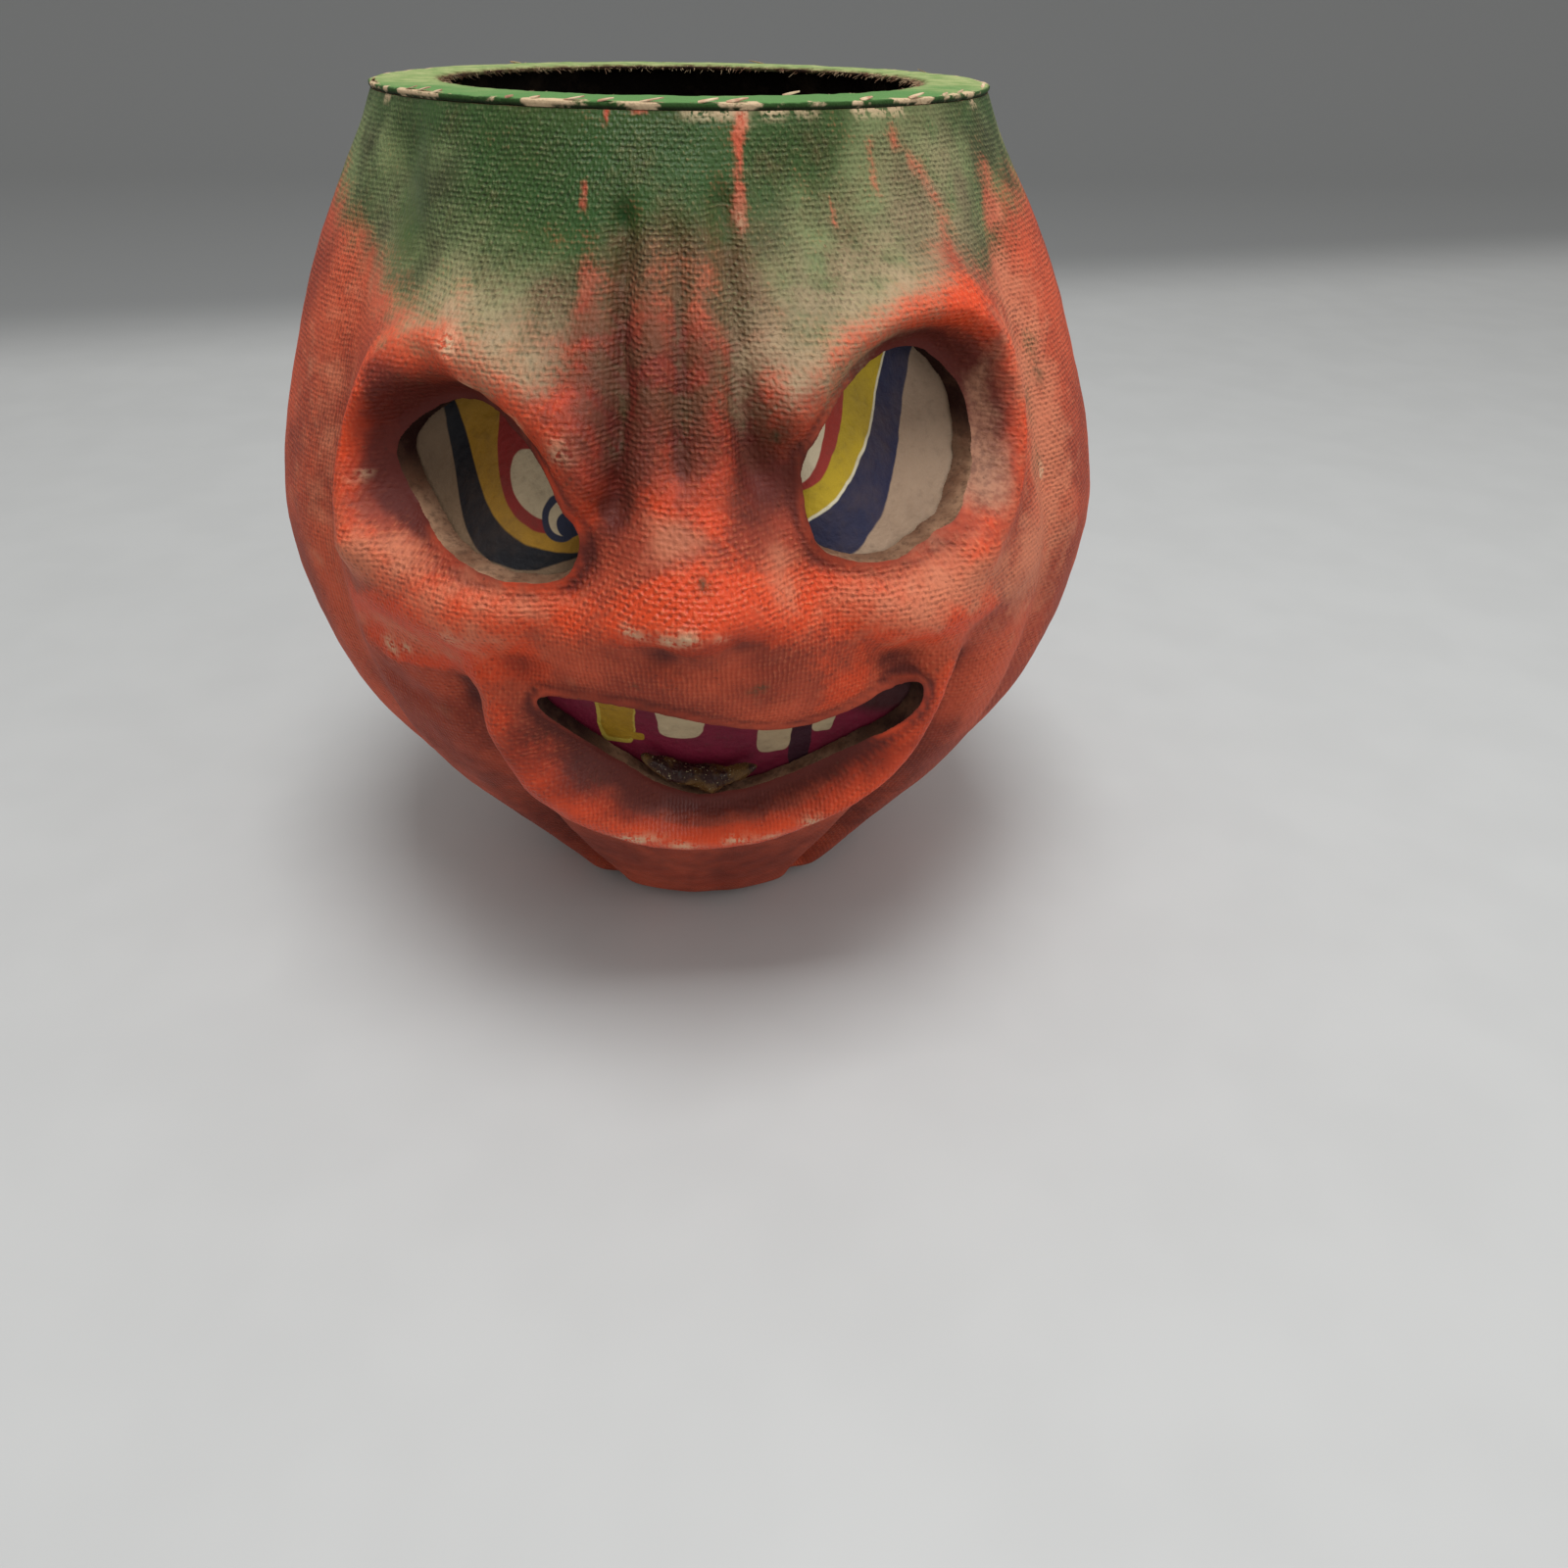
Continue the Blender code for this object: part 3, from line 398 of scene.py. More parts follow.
def wrinkleMap(values):
    extra = np.zeros(mapAngle.shape)
    wander = values["wander"] * roughNoise(mapPoints, 6.0, 11)
    for points, depth, width in values["creases"]:
        away = routeDistance(mapU + wander, mapH, smoothRoute(points, 8), 12.0)
        broken = 0.65 + 0.35 * roughNoise(mapPoints, 3.0, 12)
        extra -= depth * broken * bell(away, width)
    for points, height, width in values["crests"]:
        away = routeDistance(mapU + 0.4 * wander, mapH, smoothRoute(points, 8), 12.0)
        broken = 0.6 + 0.6 * roughNoise(mapPoints, 1.6, 13)
        extra += height * broken * bell(away, width)
    curl = 0.7 + 0.5 * roughNoise(mapPoints, 5.0, 14)
    away = np.clip(holeMap, 0, None)
    depth, place = values["groove"]
    extra += values["cutEdge"] * curl * (np.exp(-(away / values["curlWidth"]) ** 2) - depth
                                         * np.exp(-((away - place) / values["curlWidth"]) ** 2))
    below = softStep(shellTop - mapZ, 0.0, 6.0)
    for (height, size), share, seed in ((values["lumps"], below, 15), (values["grain"], 1, 16)):
        extra -= height * share * (0.5 + 0.5 * roughNoise(mapPoints, size, seed))
    return extra


outerMap = solidMap + wrinkleMap(wrinkles)
reliefMap = outerMap - plainMap
fineForm = reliefMap - blurred(reliefMap, 6.0)     # above 0 on crests, below 0 in creases
broadForm = reliefMap - blurred(reliefMap, 16.0)
arcLength = np.concatenate([[0.0], np.cumsum(np.hypot(np.diff(mapHeights),
                                                      np.diff(plainMap[:, 0])))])
print("wrinkles mapped")

# shader building blocks


class Value:
    # a shader value that is worked with like a number
    def __init__(self, finish, socket):
        self.finish, self.socket = finish, socket

    def __add__(self, other):
        return self.finish.calc("ADD", self, other)

    def __sub__(self, other):
        return self.finish.calc("SUBTRACT", self, other)

    def __mul__(self, other):
        return self.finish.calc("MULTIPLY", self, other)

    def __pow__(self, other):
        return self.finish.calc("POWER", self, other)

    def __abs__(self):
        return self.finish.calc("ABSOLUTE", self)

    def between(self, start, end):
        # 0 at start, 1 at end, smooth from one to the other
        return self.finish.add("MapRange", {"Value": self, "From Min": start, "From Max": end},
                               "Result", interpolation_type="SMOOTHSTEP")


class Finish:
    # a material and the nodes that make it
    def __init__(self, name):
        self.material = bpy.data.materials.new(name)
        self.material.use_nodes = True
        self.tree = self.material.node_tree
        self.shader = self.tree.nodes["Principled BSDF"]
        self.place = self.add("TexCoord", {}, "Object")

    def feed(self, socket, value):
        if isinstance(value, Value):
            self.tree.links.new(value.socket, socket)
        elif socket.type == "RGBA":
            socket.default_value = (*value, 1.0)
        else:
            socket.default_value = value

    def add(self, kind, inputs, output=0, **settings):
        node = self.tree.nodes.new("ShaderNode" + kind)
        for name, value in settings.items():
            setattr(node, name, value)
        for name, value in inputs.items():
            self.feed(node.inputs[name], value)
        return Value(self, node.outputs[output])

    def calc(self, operation, *values, **settings):
        return self.add("Math", dict(enumerate(values)), operation=operation, **settings)

    def blend(self, factor, first, second):
        return self.add("Mix", {"Factor": factor, 6: first, 7: second}, 2, data_type="RGBA")

    def noise(self, scale, detail=3.0, roughness=0.55, place=None, output="Fac"):
        return self.add("TexNoise", {"Vector": place or self.place, "Scale": scale,
                                     "Detail": detail, "Roughness": roughness}, output)

    def parts(self, vector):
        node = self.tree.nodes.new("ShaderNodeSeparateXYZ")
        self.feed(node.inputs[0], vector)
        return [Value(self, output) for output in node.outputs]

    def wander(self, scale):
        # three noises at once, each about 0
        return [part - 0.5 for part in self.parts(self.noise(scale, 2.0, 0.5, output="Color"))]

    def mask(self, name):
        return self.add("Attribute", {}, "Fac", attribute_name=name)

    def mapPlace(self, name):
        return self.parts(self.add("UVMap", {}, "UV", uv_map=name))[:2]

    def close(self, colour, roughness, height=None, depth=0.0, **constants):
        # depth of the relief in metres; constants go on the shader's own sockets
        self.feed(self.shader.inputs["Base Color"], colour)
        self.feed(self.shader.inputs["Roughness"], roughness)
        for name, value in constants.items():
            self.shader.inputs[name.replace("_", " ")].default_value = value
        if height:
            bumps = self.add("Bump", {"Height": height, "Distance": depth}, "Normal")
            self.feed(self.shader.inputs["Normal"], bumps)
        return self.material


def srgb(red, green, blue):
    # a colour as it is seen, 0 to 255, to the linear values that shaders use
    return tuple(c / 12.92 if c <= 0.04045 else ((c + 0.055) / 1.055) ** 2.4
                 for c in (red / 255, green / 255, blue / 255))


def shaded(colour, share):
    return srgb(*(part * share for part in colour))


# finishes; colours are written as they look
paint = {
    # of these, the dusty pale colour also serves as painted light, the strong orange partly as
    # painted highlight, and the maroon as painted shade
    "coral": (194, 78, 46), "coralDull": (152, 55, 31), "dryAndLit": (204, 122, 90),
    "bright": (216, 68, 22), "maroon": (78, 18, 9),
    "green": (100, 122, 76), "greenDark": (50, 68, 34), "greenDeep": (20, 76, 24),
    "greenTop": (142, 150, 106),
    "greenPit": (28, 40, 16), "haze": (166, 144, 112), "olive": (88, 66, 38),
    "top": (230, 134, 92), "pit": (88, 24, 10), "raw": (206, 178, 142),
    "bare": (176, 128, 100), "dirt": (60, 30, 18), "speck": (44, 58, 34),
    "rows": 0.87, "columns": 0.76,      # spacing of the screen's rows and columns in millimetres
    "imprint": 0.00042,                 # depth of the relief in metres
}


def paintedPulp(values):
    pulp = Finish("painted pulp")
    noise, blend, mask = pulp.noise, pulp.blend, pulp.mask
    tones = {name: srgb(*value) for name, value in values.items() if isinstance(value, tuple)}
    across, upward = pulp.mapPlace("pulpMap")
    fine, middling = noise(900.0, 4.0, 0.6), noise(230.0, 4.0)
    large, patches = noise(50.0), noise(110.0, 4.0, 0.6)
    # threads of the screen: they wander a little and each row is pressed in unevenly
    slow, quick = pulp.wander(70.0), pulp.wander(420.0)
    across = quick[0] * 0.0080 + (slow[0] * 0.011 + across)
    upward = quick[1] * 0.0080 + (slow[1] * 0.011 + upward)
    rowPlace, columnPlace = upward * (100 / values["rows"]), across * (100 / values["columns"])
    along = pulp.add("CombineXYZ", {0: across * 100.0, 1: pulp.calc("FLOOR", rowPlace) * 5.7})
    broken = noise(0.5, 2.0, place=along)
    rows, columns = (pulp.calc("SINE", way * (2 * math.pi)) for way in (rowPlace, columnPlace))
    shifted = pulp.calc("SINE", columnPlace * math.pi + rowPlace * math.pi)
    level = rows * (broken.between(0.34, 0.66) * 0.22 + 0.03) + columns * 0.09 + shifted * 0.12
    upright = columns * 0.24 + rows * 0.05
    weave = (upright - level) * mask("upright") + level + fine
    strength = mask("imprint") * (patches.between(0.28, 0.6) * 0.65 + 0.35)
    tops, pits = weave.between(0.54, 0.86) * strength, weave.between(0.46, 0.14) * strength

    # red paint: several strengths of it, rubbed and dusty in places; the strong orange is partly
    # painted highlight, the dusty pale partly painted light, and the maroon painted shade in
    # creases and hollows, with some real grime
    blotches = (fine - 0.5) * 0.4 + patches
    grimeAndShade = ((middling - 0.5) * 0.6 + mask("grimeAndShade")).between(0.0, 1.0) * 0.94
    dryAndLit = mask("dryAndLit") * 0.6 + middling * 0.6 - patches * 0.4
    colour = blend(large.between(0.36, 0.62), tones["coral"], tones["coralDull"])
    for factor, tone in (
            ((mask("bright") * 0.75 + blotches).between(0.68, 1.0) * 0.9, "bright"),
            (dryAndLit.between(0.22, 0.72) * 0.85, "dryAndLit"), (grimeAndShade, "maroon"),
            (tops * 0.34 * (grimeAndShade * -0.8 + 1.0), "top"), (pits * 0.46, "pit"),
            (mask("olive") * middling.between(0.36, 0.60) * 0.7, "olive")):
        colour = blend(factor, colour, tones[tone])
    # green over the red: hazy and speckled where it is thin, deep near the rim
    green, pale = mask("green"), mask("pale")
    uneven = (patches - 0.5) * 1.1 + (middling - 0.5) * 0.7 + (weave - 0.5) * -0.45
    thin = (uneven * 0.5 + green).between(0.0, 0.55)
    cover = (uneven * 0.8 + green).between(0.22, 0.88)
    colour = blend((pale * 0.80 + 0.06) * thin, colour, tones["haze"])
    greens = blend((middling * 0.35 + large).between(0.58, 0.80), tones["green"],
                   tones["greenDark"])
    for factor, tone in (
            ((patches * 0.7 + mask("deep")).between(0.35, 0.95), "greenDeep"),
            ((mask("olive") * 0.8 + blotches).between(0.5, 1.1), "olive"),
            (pale * middling.between(0.2, 0.6), "haze"),
            (tops * 0.36, "greenTop"), (pits * (pale * -0.30 + 0.58), "greenPit")):
        greens = blend(factor, greens, tones[tone])
    colour = blend(cover * 0.95, colour, greens)
    # worn down to the fibres, and specks of dirt
    bare = blend(fine.between(0.36, 0.6), shaded(values["bare"], 0.8), tones["bare"])
    for factor, tone in (
            ((fine * 0.35 + mask("bare")).between(0.2, 0.9) * 0.75, bare),
            (mask("chips") * (weave * 0.25 + fine).between(0.48, 0.66), tones["raw"]),
            (noise(1500.0, 1.0).between(0.70, 0.76) * 0.4, tones["dirt"]),
            (mask("specks") * fine.between(0.35, 0.55), tones["speck"])):
        colour = blend(factor, colour, tone)
    gloss = mask("bright") * -0.10 + mask("shine") * -0.38 + middling * 0.16 + 0.60
    height = (weave - 0.5) * strength + fine * 0.22 + middling * 0.6 + patches * 0.9
    return pulp.close(colour, gloss, height, values["imprint"], Specular_IOR_Level=0.34)


def rawPulp(name, light, dark, sootAndShade, fuzz=0.0005):
    pulp = Finish(name)
    fibres, clumps = pulp.noise(700.0, 5.0, 0.7), pulp.noise(160.0, 4.0)
    colour = pulp.blend(clumps.between(0.3, 0.7), srgb(*dark), srgb(*light))
    colour = pulp.blend(fibres.between(0.55, 0.35) * 0.5, colour, shaded(dark, 0.55))
    # real soot inside; on the cut edges the same mask paints shade on their upper parts
    stain = pulp.mask("sootAndShade") * (fibres * 0.4 + clumps).between(0.25, 0.75)
    colour = pulp.blend(stain, colour, srgb(*sootAndShade))
    return pulp.close(colour, 0.93, fibres * 0.6 + clumps, fuzz, Specular_IOR_Level=0.2)


paintMaterial = paintedPulp(paint)
insideMaterial = rawPulp("bare pulp inside", (132, 112, 88), (92, 76, 60), (26, 20, 16))
# the darkest colour of the cut edge is painted shade on their upper parts
cutMaterial = rawPulp("cut edge of the pulp", (152, 118, 92), (108, 74, 54), (42, 18, 13))
print("pulp finishes made")

# masks for the paint, as values on the mesh points


def spots(u, h, places):
    # soft round patches: middle, half size, strength
    total = 0.0
    for middle, half, strength in places:
        total = total + strength * bump(u, h, middle, half)
    return np.clip(total, 0, 1)


def streaks(u, h, routes):
    total = 0.0
    for points, width, strength in routes:
        away = routeDistance(u, h, smoothRoute(points, 6), 5 * width)
        total = np.maximum(total, strength * bell(away, width))
    return total


wearAndShadingMarks = {
    # how low the green comes, along the face and round the back
    "greenAt": (
        (-251, 42), (-140, 44), (-105, 46), (-92, 44), (-80, 40), (-70, 38), (-60, 33),
        (-50, 32), (-42, 35), (-34, 30), (-26, 28), (-21, 34), (-14, 36), (-5, 40), (4, 38),
        (9, 31), (16, 28), (24, 31), (34, 35), (44, 40), (52, 44), (60, 41), (70, 38), (80, 43),
        (95, 48), (140, 44), (251, 42)),
    "greenStreaks": (
        (((-12.3, 48), (-12.4, 36), (-11.4, 26)), 0.9, 0.6),
        (((-2.2, 46), (-2.0, 36), (-2.4, 24)), 0.8, 0.55),
        (((4.6, 46), (4.4, 36), (4.0, 30)), 0.7, 0.4),
        (((-15.6, 44), (-15.0, 36), (-14.8, 31)), 0.7, 0.4),
        (((8.4, 50), (7.6, 38), (7.4, 26)), 1.1, 0.6),
        (((78, 30), (75, 22), (74, 12)), 2.2, 0.4),
        (((-64, 50), (-58, 42), (-56, 36)), 4.0, 0.5)),
    "rubbedThrough": (
        (((12, 67), (10.8, 61), (10.2, 57), (9.7, 52.5)), 0.9, 1.0),
        (((48, 62), (54, 57), (56.4, 50), (54, 44)), 1.6, 0.75),
        (((-19, 46), (-18, 38), (-17.6, 30)), 1.8, 0.7),
        (((-6.5, 40), (-6.3, 34), (-6.3, 24)), 1.5, 0.55),
        (((1.4, 41), (1.4, 34), (1.0, 24)), 1.3, 0.55),
        (((14, 40), (12, 34), (10, 28)), 1.8, 0.45), (((-21, 57), (-20.6, 54)), 0.6, 0.9),
        (((-20.4, 50), (-20, 47)), 0.5, 0.5), (((30, 55), (29.6, 52)), 0.5, 0.7),
        (((42, 62), (41, 56)), 0.8, 0.5), (((80, 58), (78, 50), (76, 42)), 2.4, 0.6),
        (((-14.9, 67.2), (-9, 66.2), (-4, 67.4), (0.2, 67.7)), 0.3, 0.9),
        (((-14.9, 67.2), (-16.7, 63.7)), 0.3, 0.8)),
    # painted highlights along the brow and lip crests and down the forehead ribs
    "brightBands": (
        (((-59, 20), (-58, 28), (-55, 35), (-46, 37), (-38, 31), (-30, 26.5), (-22, 22),
        (-18, 14)), 2.2, 0.8), (((15, 26), (22, 30), (32, 33), (42, 37), (50, 40)), 1.8, 0.3),
        (((-17.5, 36), (-17, 28), (-18, 18)), 3.0, 0.55),
        (((-6, 30), (-5, 24), (-5, 16)), 2.2, 0.4), (((3, 30), (3.4, 24), (3, 16)), 2.0, 0.4),
        (((12, 32), (13, 25)), 1.6, 0.6), (((-30, -32), (-24, -38.5), (-13, -47), (0, -50.5),
        (12, -49.5), (20, -45.5), (28, -39), (34, -30)), 2.2, 0.9)),
    "deepGreen": (
        ((-12, 62), (13, 8), 1.0), ((6, 63), (8, 6), 0.9), ((27, 62), (6, 5), 0.9),
        ((-34, 60), (12, 6), 0.55), ((-66, 54), (5, 9), 0.4), ((-2, 50), (9, 6), 0.8),
        ((-30, 50), (8, 5), 0.5)),
    "paleBand": (
        ((-44, 40), (8, 4), 0.9), ((-30, 33), (7, 5), 1.0), ((21, 36), (9, 5), 1.0),
        ((36, 41), (9, 4), 1.0), ((48, 50), (9, 8), 0.5), ((12, 32), (4, 4), 0.6),
        ((-70, 42), (6, 8), 0.3), ((62, 56), (8, 8), 0.4), ((26, 46), (10, 5), 0.3)),
    "oliveBand": (
        ((0, 30), (15, 8), 0.5), ((44, 58), (12, 8), 0.5), ((-12, 40), (6, 9), 0.8),
        ((7, 42), (5, 9), 0.8), ((20, 50), (10, 7), 0.3), ((-2, 42), (6, 7), 0.8),
        ((-26, 42), (9, 5), 0.6)),
    # dusty paint, and painted light where the cheeks and sides catch the light
    "dryAndLitSpots": (
        ((-52, -11), (8, 3), 0.7), ((-36, -6), (7, 2.4), 0.5), ((36, 0), (14, 4.0), 1.0),
        ((-32, 1), (12, 3), 0.6), ((76, 18), (8, 24), 1.0), ((60, 32), (5, 8), 0.5),
        ((-80, 18), (10, 24), 0.5), ((-4, 13), (4, 2.6), 0.8), ((-52, 4), (8, 4), 0.5),
        ((62, -4), (8, 8), 0.6), ((12, 7), (4, 3), 0.6), ((-58, 2), (5, 4), 0.5)),
    "bareSpots": (
        ((53.0, 18), (2.6, 5), 0.6), ((48, 12.4), (4, 1.8), 0.5), ((56.6, 28), (1.0, 5), 0.5),
        ((38, 7), (5, 1.0), 0.3)),
    # painted highlights on the cheeks, nose and lip, partly stronger orange paint
    "brightSpots": (
        ((3, 3), (11, 3.0), 1.0), ((-2, -1), (9, 1.8), 0.7), ((-44, -10), (15, 4), 1.1),
        ((36, -6), (11, 3.6), 1.0), ((-55, -12), (8, 4), 1.3), ((22, 1), (5, 3), 0.7),
        ((-24, 0), (5, 3), 0.7), ((24, -16), (5, 3), 0.5), ((0, 18), (8, 4), 0.4)),
    "chipSpots": (
        ((-8.8, -0.2), (1.2, 0.8), 1.0), ((-4.2, -0.6), (0.8, 0.8), 0.8),
        ((-1.6, -0.2), (1.0, 0.9), 0.9), ((2.8, -0.4), (0.6, 0.6), 0.6),
        ((-58, -14.6), (1.3, 0.8), 1.0), ((-53, -14.2), (1.0, 0.7), 0.8),
        ((-38.5, -6.6), (1.6, 1.6), 0.4), ((-13.9, -48.4), (2.6, 0.8), 1.0),
        ((-5, -50.0), (2.4, 0.6), 0.7), ((5.9, -50.2), (1.8, 0.6), 0.8),
        ((19.9, -45.2), (1.3, 1.0), 1.0), ((12, -48.8), (2, 0.6), 0.6),
        ((-40.7, 36.8), (1.2, 1.0), 0.9), ((-38, 29.9), (1.2, 1.4), 0.8),
        ((-28.7, 26.1), (1.0, 1.0), 0.7), ((-20.1, 24.5), (1.2, 1.2), 0.5),
        ((74.9, 9.4), (0.6, 0.6), 1.0), ((-59.8, 14.9), (0.9, 0.18), 0.7),
        ((12, 67), (1.4, 1.4), 0.7), ((9.5, 52.5), (0.6, 0.8), 0.5)),
    "speckSpots": (
        ((12.4, 26.0), (0.7, 0.7), 1.0), ((0.3, 7.1), (0.6, 0.6), 0.9),
        ((8.3, -11.8), (0.7, 0.7), 1.0), ((-10.3, -12.3), (0.4, 0.4), 0.8),
        ((72.7, 21.6), (1.0, 1.2), 0.8), ((69, 12), (0.7, 1.6), 0.6),
        ((78.5, 25.3), (1.2, 1.6), 0.7), ((-12, 24), (0.7, 1.4), 0.6)),
    "shinySpots": (
        ((-64, 53), (4, 12), 1.0), ((0, 3), (9, 3), 0.6), ((0, -48), (26, 3.0), 1.4),
        ((-26, -37), (5, 5), 0.8), ((-8, 63), (14, 5), 0.6)),
    "smoothSpots": (
        ((-64, 53), (4, 12), 0.8), ((-44, -38), (13, 14), 0.6), ((46, -36), (12, 14), 0.6),
        ((0, -72), (30, 12), 0.8), ((0, -48.6), (26, 2.6), 0.6), ((0, -57), (26, 4), 0.4),
        ((2, -14), (22, 5), 0.35), ((-13.5, 17), (4, 6), 0.6), ((11.5, 18), (4, 6), 0.6),
        ((-5, -5), (4, 3), 0.5), ((5, -3), (4, 3), 0.5), ((0, 67), (60, 2.0), 0.6)),
    "uprightSpots": (
        ((2, -11), (24, 6.5), 1.0), ((0, -45), (30, 6), 0.9), ((-70, 5), (9, 22), 0.6),
        ((-82, 20), (14, 40), 0.5)),
    # painted shade in the nostrils, beside the nose, in the mouth's recess, under the lips, on the
    # jaw sides and in the forehead creases
    "darkSpots": (
        ((-13.5, 17), (4.0, 6.5), 0.6), ((11.5, 18.5), (4.2, 7), 0.7),
        ((-5.8, -4.8), (4.4, 2.8), 0.7), ((5.6, -2.8), (4.6, 2.8), 0.7),
        ((-30, -25), (3.4, 7), 0.8), ((-23, -35.5), (4, 3), 0.7), ((-13, -41.5), (6, 2), 0.5),
        ((2, -43.4), (13, 1.2), 0.4), ((38, -24), (3, 6), 0.4), ((-15, 31), (6, 9), 0.45),
        ((0, 34), (18, 10), 0.74), ((0, 22), (11, 6), 0.35), ((-54, 27), (2.5, 6), 0.5),
        ((0, -66), (34, 6), 0.4), ((-24, -56), (8, 8), 0.3), ((28, -56), (8, 8), 0.3),
        ((-66, -36), (8, 10), 0.3), ((-48, -38), (7, 16), 0.5), ((50, -40), (7, 16), 0.5),
        ((0, -76), (40, 9), 0.5), ((4, -14), (22, 4), 0.3), ((-52, -62), (14, 14), 0.5),
        ((54, -62), (14, 14), 0.5), ((-12.2, 34), (0.9, 14), 0.7), ((-2, 35), (0.7, 10), 0.5),
        ((8, 34), (0.9, 12), 0.7), ((-54, 26), (3, 6), 0.6), ((-46, 32), (6, 2), 0.5),
        ((56, 30), (2.4, 7), 0.5)),
}


def paintMasks(angle, z, marks):
    u, h = np.radians(angle) * face["radius"], z - face["noseHeight"]
    points = around(angle, lookUp(outerMap, angle, z), z)
    broad, small = roughNoise(points, 11.0, 31), roughNoise(points, 3.0, 32)
    crest, form = lookUp(fineForm, angle, z), lookUp(broadForm, angle, z)
    away = lookUp(holeMap, angle, z)
    trueU, trueH = u, h
    u = u + 1.5 * roughNoise(points, 5.0, 34) + 0.5 * roughNoise(points, 1.4, 36)
    h = h + 1.5 * roughNoise(points, 5.0, 35) + 0.5 * roughNoise(points, 1.4, 37)

    def patches(name):
        return spots(u, h, marks[name])

    places, lows = zip(*marks["greenAt"])
    low = np.interp(u, places, lows) + 2.5 * broad
    green = softStep(h, low - 6.0, low + 15.0)
    green = np.maximum(green, streaks(u, h, marks["greenStreaks"]) * (0.8 + 0.4 * small))
    rubbed = streaks(u, h, marks["rubbedThrough"]) * softStep(small + 0.5, -0.35, 0.5)
    green = green * (1 - 0.9 * rubbed) * (1 - 0.4 * softStep(crest, 0.5, 1.6))
    deepGreen = patches("deepGreen") + 0.3 * broad + 0.35 * softStep(h, 58, 66)
    pale = patches("paleBand") * (0.8 + 0.35 * small)
    olive = patches("oliveBand") * (0.75 + 0.5 * broad)
    # painted highlight on raised forms and crests, partly stronger orange paint
    bright = (softStep(form, 0.5, 2.8) * 0.5 + patches("brightSpots")
              + streaks(u, h, marks["brightBands"]) + 0.1 * rubbed + 0.25 * broad)
    # the hole hollows, darker on their deep side as painted shade
    hollow = np.zeros_like(u)
    for name, _, _, way, reach in face["hollows"]:
        near = 1 - softStep(lookUp(holeMaps[name], angle, z), 1.0, reach + 1.0)
        deep = softStep(deepening(trueU, trueH, name, way), 0.1, 0.8)
        hollow = np.maximum(hollow, near * deep)
    # painted shade, with some real grime: dark spots, creases, hollows and the lines along the
    # hole edges
    grimeAndShade = (patches("darkSpots") * 0.8 + softStep(-crest, 0.3, 2.0) * 0.55
             + softStep(-form, 0.8, 4.5) * 0.30 + 0.75 * hollow)
    # painted shade in the groove beside the curled hole edges, and on the edge itself
    edgeLine = np.exp(-((away - 1.7) / 0.7) ** 2) * (0.75 + 0.5 * small)
    cutLine = np.exp(-(away / 0.55) ** 2)
    grimeAndShade = np.clip(grimeAndShade + 0.65 * edgeLine + 0.45 * cutLine, 0, 1)
    imprint = 1 - patches("smoothSpots")
    imprint = imprint * (1 - 0.7 * hollow) * softStep(away, 0.6, 2.0)
    chips = patches("chipSpots")
    rimChip = softStep(trueH, shellTop - face["noseHeight"] - 1.6, shellTop - face["noseHeight"])
    chips = np.maximum(chips, rimChip * softStep(roughNoise(points, 4.0, 33), 0.25, 0.5))
    bare = patches("bareSpots")
    return {
        "green": green, "deep": deepGreen, "pale": pale, "olive": olive, "bright": bright,
        "grimeAndShade": grimeAndShade, "imprint": imprint, "chips": chips, "bare": bare,
        "dryAndLit": patches("dryAndLitSpots") + 0.25 * softStep(small, 0.0, 0.6) + 0.4 * rubbed,
        "specks": patches("speckSpots"), "shine": patches("shinySpots"),
        "upright": patches("uprightSpots"),
    }


def setValues(mesh, name, values):
    layer = mesh.attributes.new(name, "FLOAT", "POINT")
    layer.data.foreach_set("value", np.ascontiguousarray(np.clip(values, 0, 1), np.float32))


def meshPoints(mesh):
    points = np.empty(len(mesh.vertices) * 3, np.float32)
    mesh.vertices.foreach_get("co", points)
    return points.reshape(-1, 3) / mm


def wholeNumbers(items, name):
    values = np.empty(len(items), np.int32)
    items.foreach_get(name, values)
    return values


def turnOf(points):
    # angle round from the middle of the face, in radians
    return np.arctan2(points[:, 0], -points[:, 1])


def setMap(mesh, name, x, y):
    # in units of 100 mm along the surface, so that prints and imprint keep their size
    flat = np.stack([x, y], axis=1)[wholeNumbers(mesh.loops, "vertex_index")] * 0.01
    layer = mesh.uv_layers.new(name=name)
    layer.data.foreach_set("uv", flat.astype(np.float32).ravel())


def roundOff(mesh, sharp):
    # smooth shading with hard edges above that angle in degrees
    mesh.shade_smooth()
    mesh.set_sharp_from_angle(angle=math.radians(sharp))


# mesh building blocks


